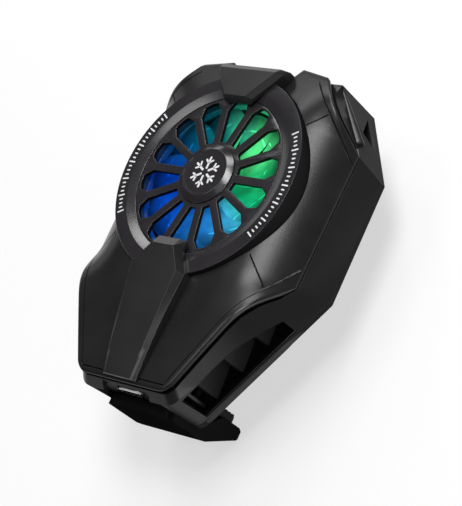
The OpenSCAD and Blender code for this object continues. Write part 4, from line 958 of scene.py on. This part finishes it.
FLOOR_Z, FLOOR_R = -11.52, 40000
FLOOR_GLOW, WORLD_GLOW = 0.6, 0.06
# distance of the soft boxes and the point that they look at, in metres
LIGHT_AWAY, LIGHT_AIM = 0.65, (0.0, -0.005, 0.01)


def make_stage():
    """The white floor: it keeps shadows, and glows to the camera and in reflections only."""
    bm = bmesh.new()
    bmesh.ops.create_circle(bm, cap_ends=True, segments=96, radius=FLOOR_R)
    bmesh.ops.translate(bm, verts=bm.verts, vec=(0, 0, FLOOR_Z))
    mesh = from_bmesh("floor", bm)
    floor = bpy.data.objects.new("floor", mesh)
    SCENE.collection.objects.link(floor)
    material = bpy.data.materials.new("floor_white")
    material.use_nodes = True
    tree = material.node_tree
    tree.nodes.clear()
    out = tree.nodes.new("ShaderNodeOutputMaterial")
    add = tree.nodes.new("ShaderNodeAddShader")
    matt = tree.nodes.new("ShaderNodeBsdfDiffuse")
    glow = tree.nodes.new("ShaderNodeEmission")
    path = tree.nodes.new("ShaderNodeLightPath")
    matt.inputs["Color"].default_value = (0.42, 0.42, 0.42, 1.0)
    glow.inputs["Color"].default_value = (1.0, 1.0, 1.0, 1.0)
    seen = path.outputs["Is Camera Ray"]
    for ray in ("Is Glossy Ray", "Is Transmission Ray"):
        either = tree.nodes.new("ShaderNodeMath")
        either.operation = "MAXIMUM"
        tree.links.new(seen, either.inputs[0])
        tree.links.new(path.outputs[ray], either.inputs[1])
        seen = either.outputs[0]
    level = tree.nodes.new("ShaderNodeMath")
    level.operation = "MULTIPLY"
    level.inputs[1].default_value = FLOOR_GLOW
    tree.links.new(seen, level.inputs[0])
    tree.links.new(level.outputs[0], glow.inputs["Strength"])
    tree.links.new(matt.outputs[0], add.inputs[0])
    tree.links.new(glow.outputs[0], add.inputs[1])
    tree.links.new(add.outputs[0], out.inputs["Surface"])
    floor.data.materials.append(material)


def make_light(name, toward, size, power):
    """A soft box that looks at the part."""
    data = bpy.data.lights.new(name, "AREA")
    data.shape, data.size, data.size_y = "RECTANGLE", size[0], size[1]
    data.energy = power
    lamp = bpy.data.objects.new(name, data)
    SCENE.collection.objects.link(lamp)
    turn, rise = (math.radians(a) for a in toward)
    flat = math.cos(rise)
    away = Vector((flat * math.cos(turn), flat * math.sin(turn), math.sin(rise)))
    lamp.location = Vector(LIGHT_AIM) + LIGHT_AWAY * away
    lamp.rotation_mode = "QUATERNION"
    lamp.rotation_quaternion = (-away).to_track_quat("-Z", "Y")


# Each soft box: name, azimuth and height in degrees, size in metres, watts
LIGHTS = [
    ("key_box", (52, 68), (0.34, 0.21), 2.3),
    ("head_box", (96, 44), (0.28, 0.2), 1.2),
    ("top_left_box", (190, 70), (0.25, 0.2), 0.5),
    ("head_left_box", (132, 40), (0.13, 0.18), 0.42),
    ("head_left_low_box", (136, 9), (0.24, 0.1), 0.14),
    ("front_low_box", (341, 8), (0.4, 0.16), 1.3),
    ("over_box", (318, 73), (0.2, 0.2), 0.1),
    ("tail_left_box", (232, 14), (0.3, 0.12), 0.12),
    ("near_box", (318, 34), (0.2, 0.18), 0.06),
    ("right_box", (13, 11), (0.3, 0.2), 0.15),
    ("left_low_box", (166, 15), (0.25, 0.12), 0.08),
]


def make_world():
    """An even, weak white world."""
    world = bpy.data.worlds.new("studio")
    world.use_nodes = True
    back = world.node_tree.nodes["Background"]
    back.inputs["Color"].default_value = (1.0, 1.0, 1.0, 1.0)
    back.inputs["Strength"].default_value = WORLD_GLOW
    SCENE.world = world


make_camera()
finish_nodes()
make_pieces()
make_stage()
for light in LIGHTS:
    make_light(*light)
make_world()
SCENE.view_settings.view_transform = "Standard"
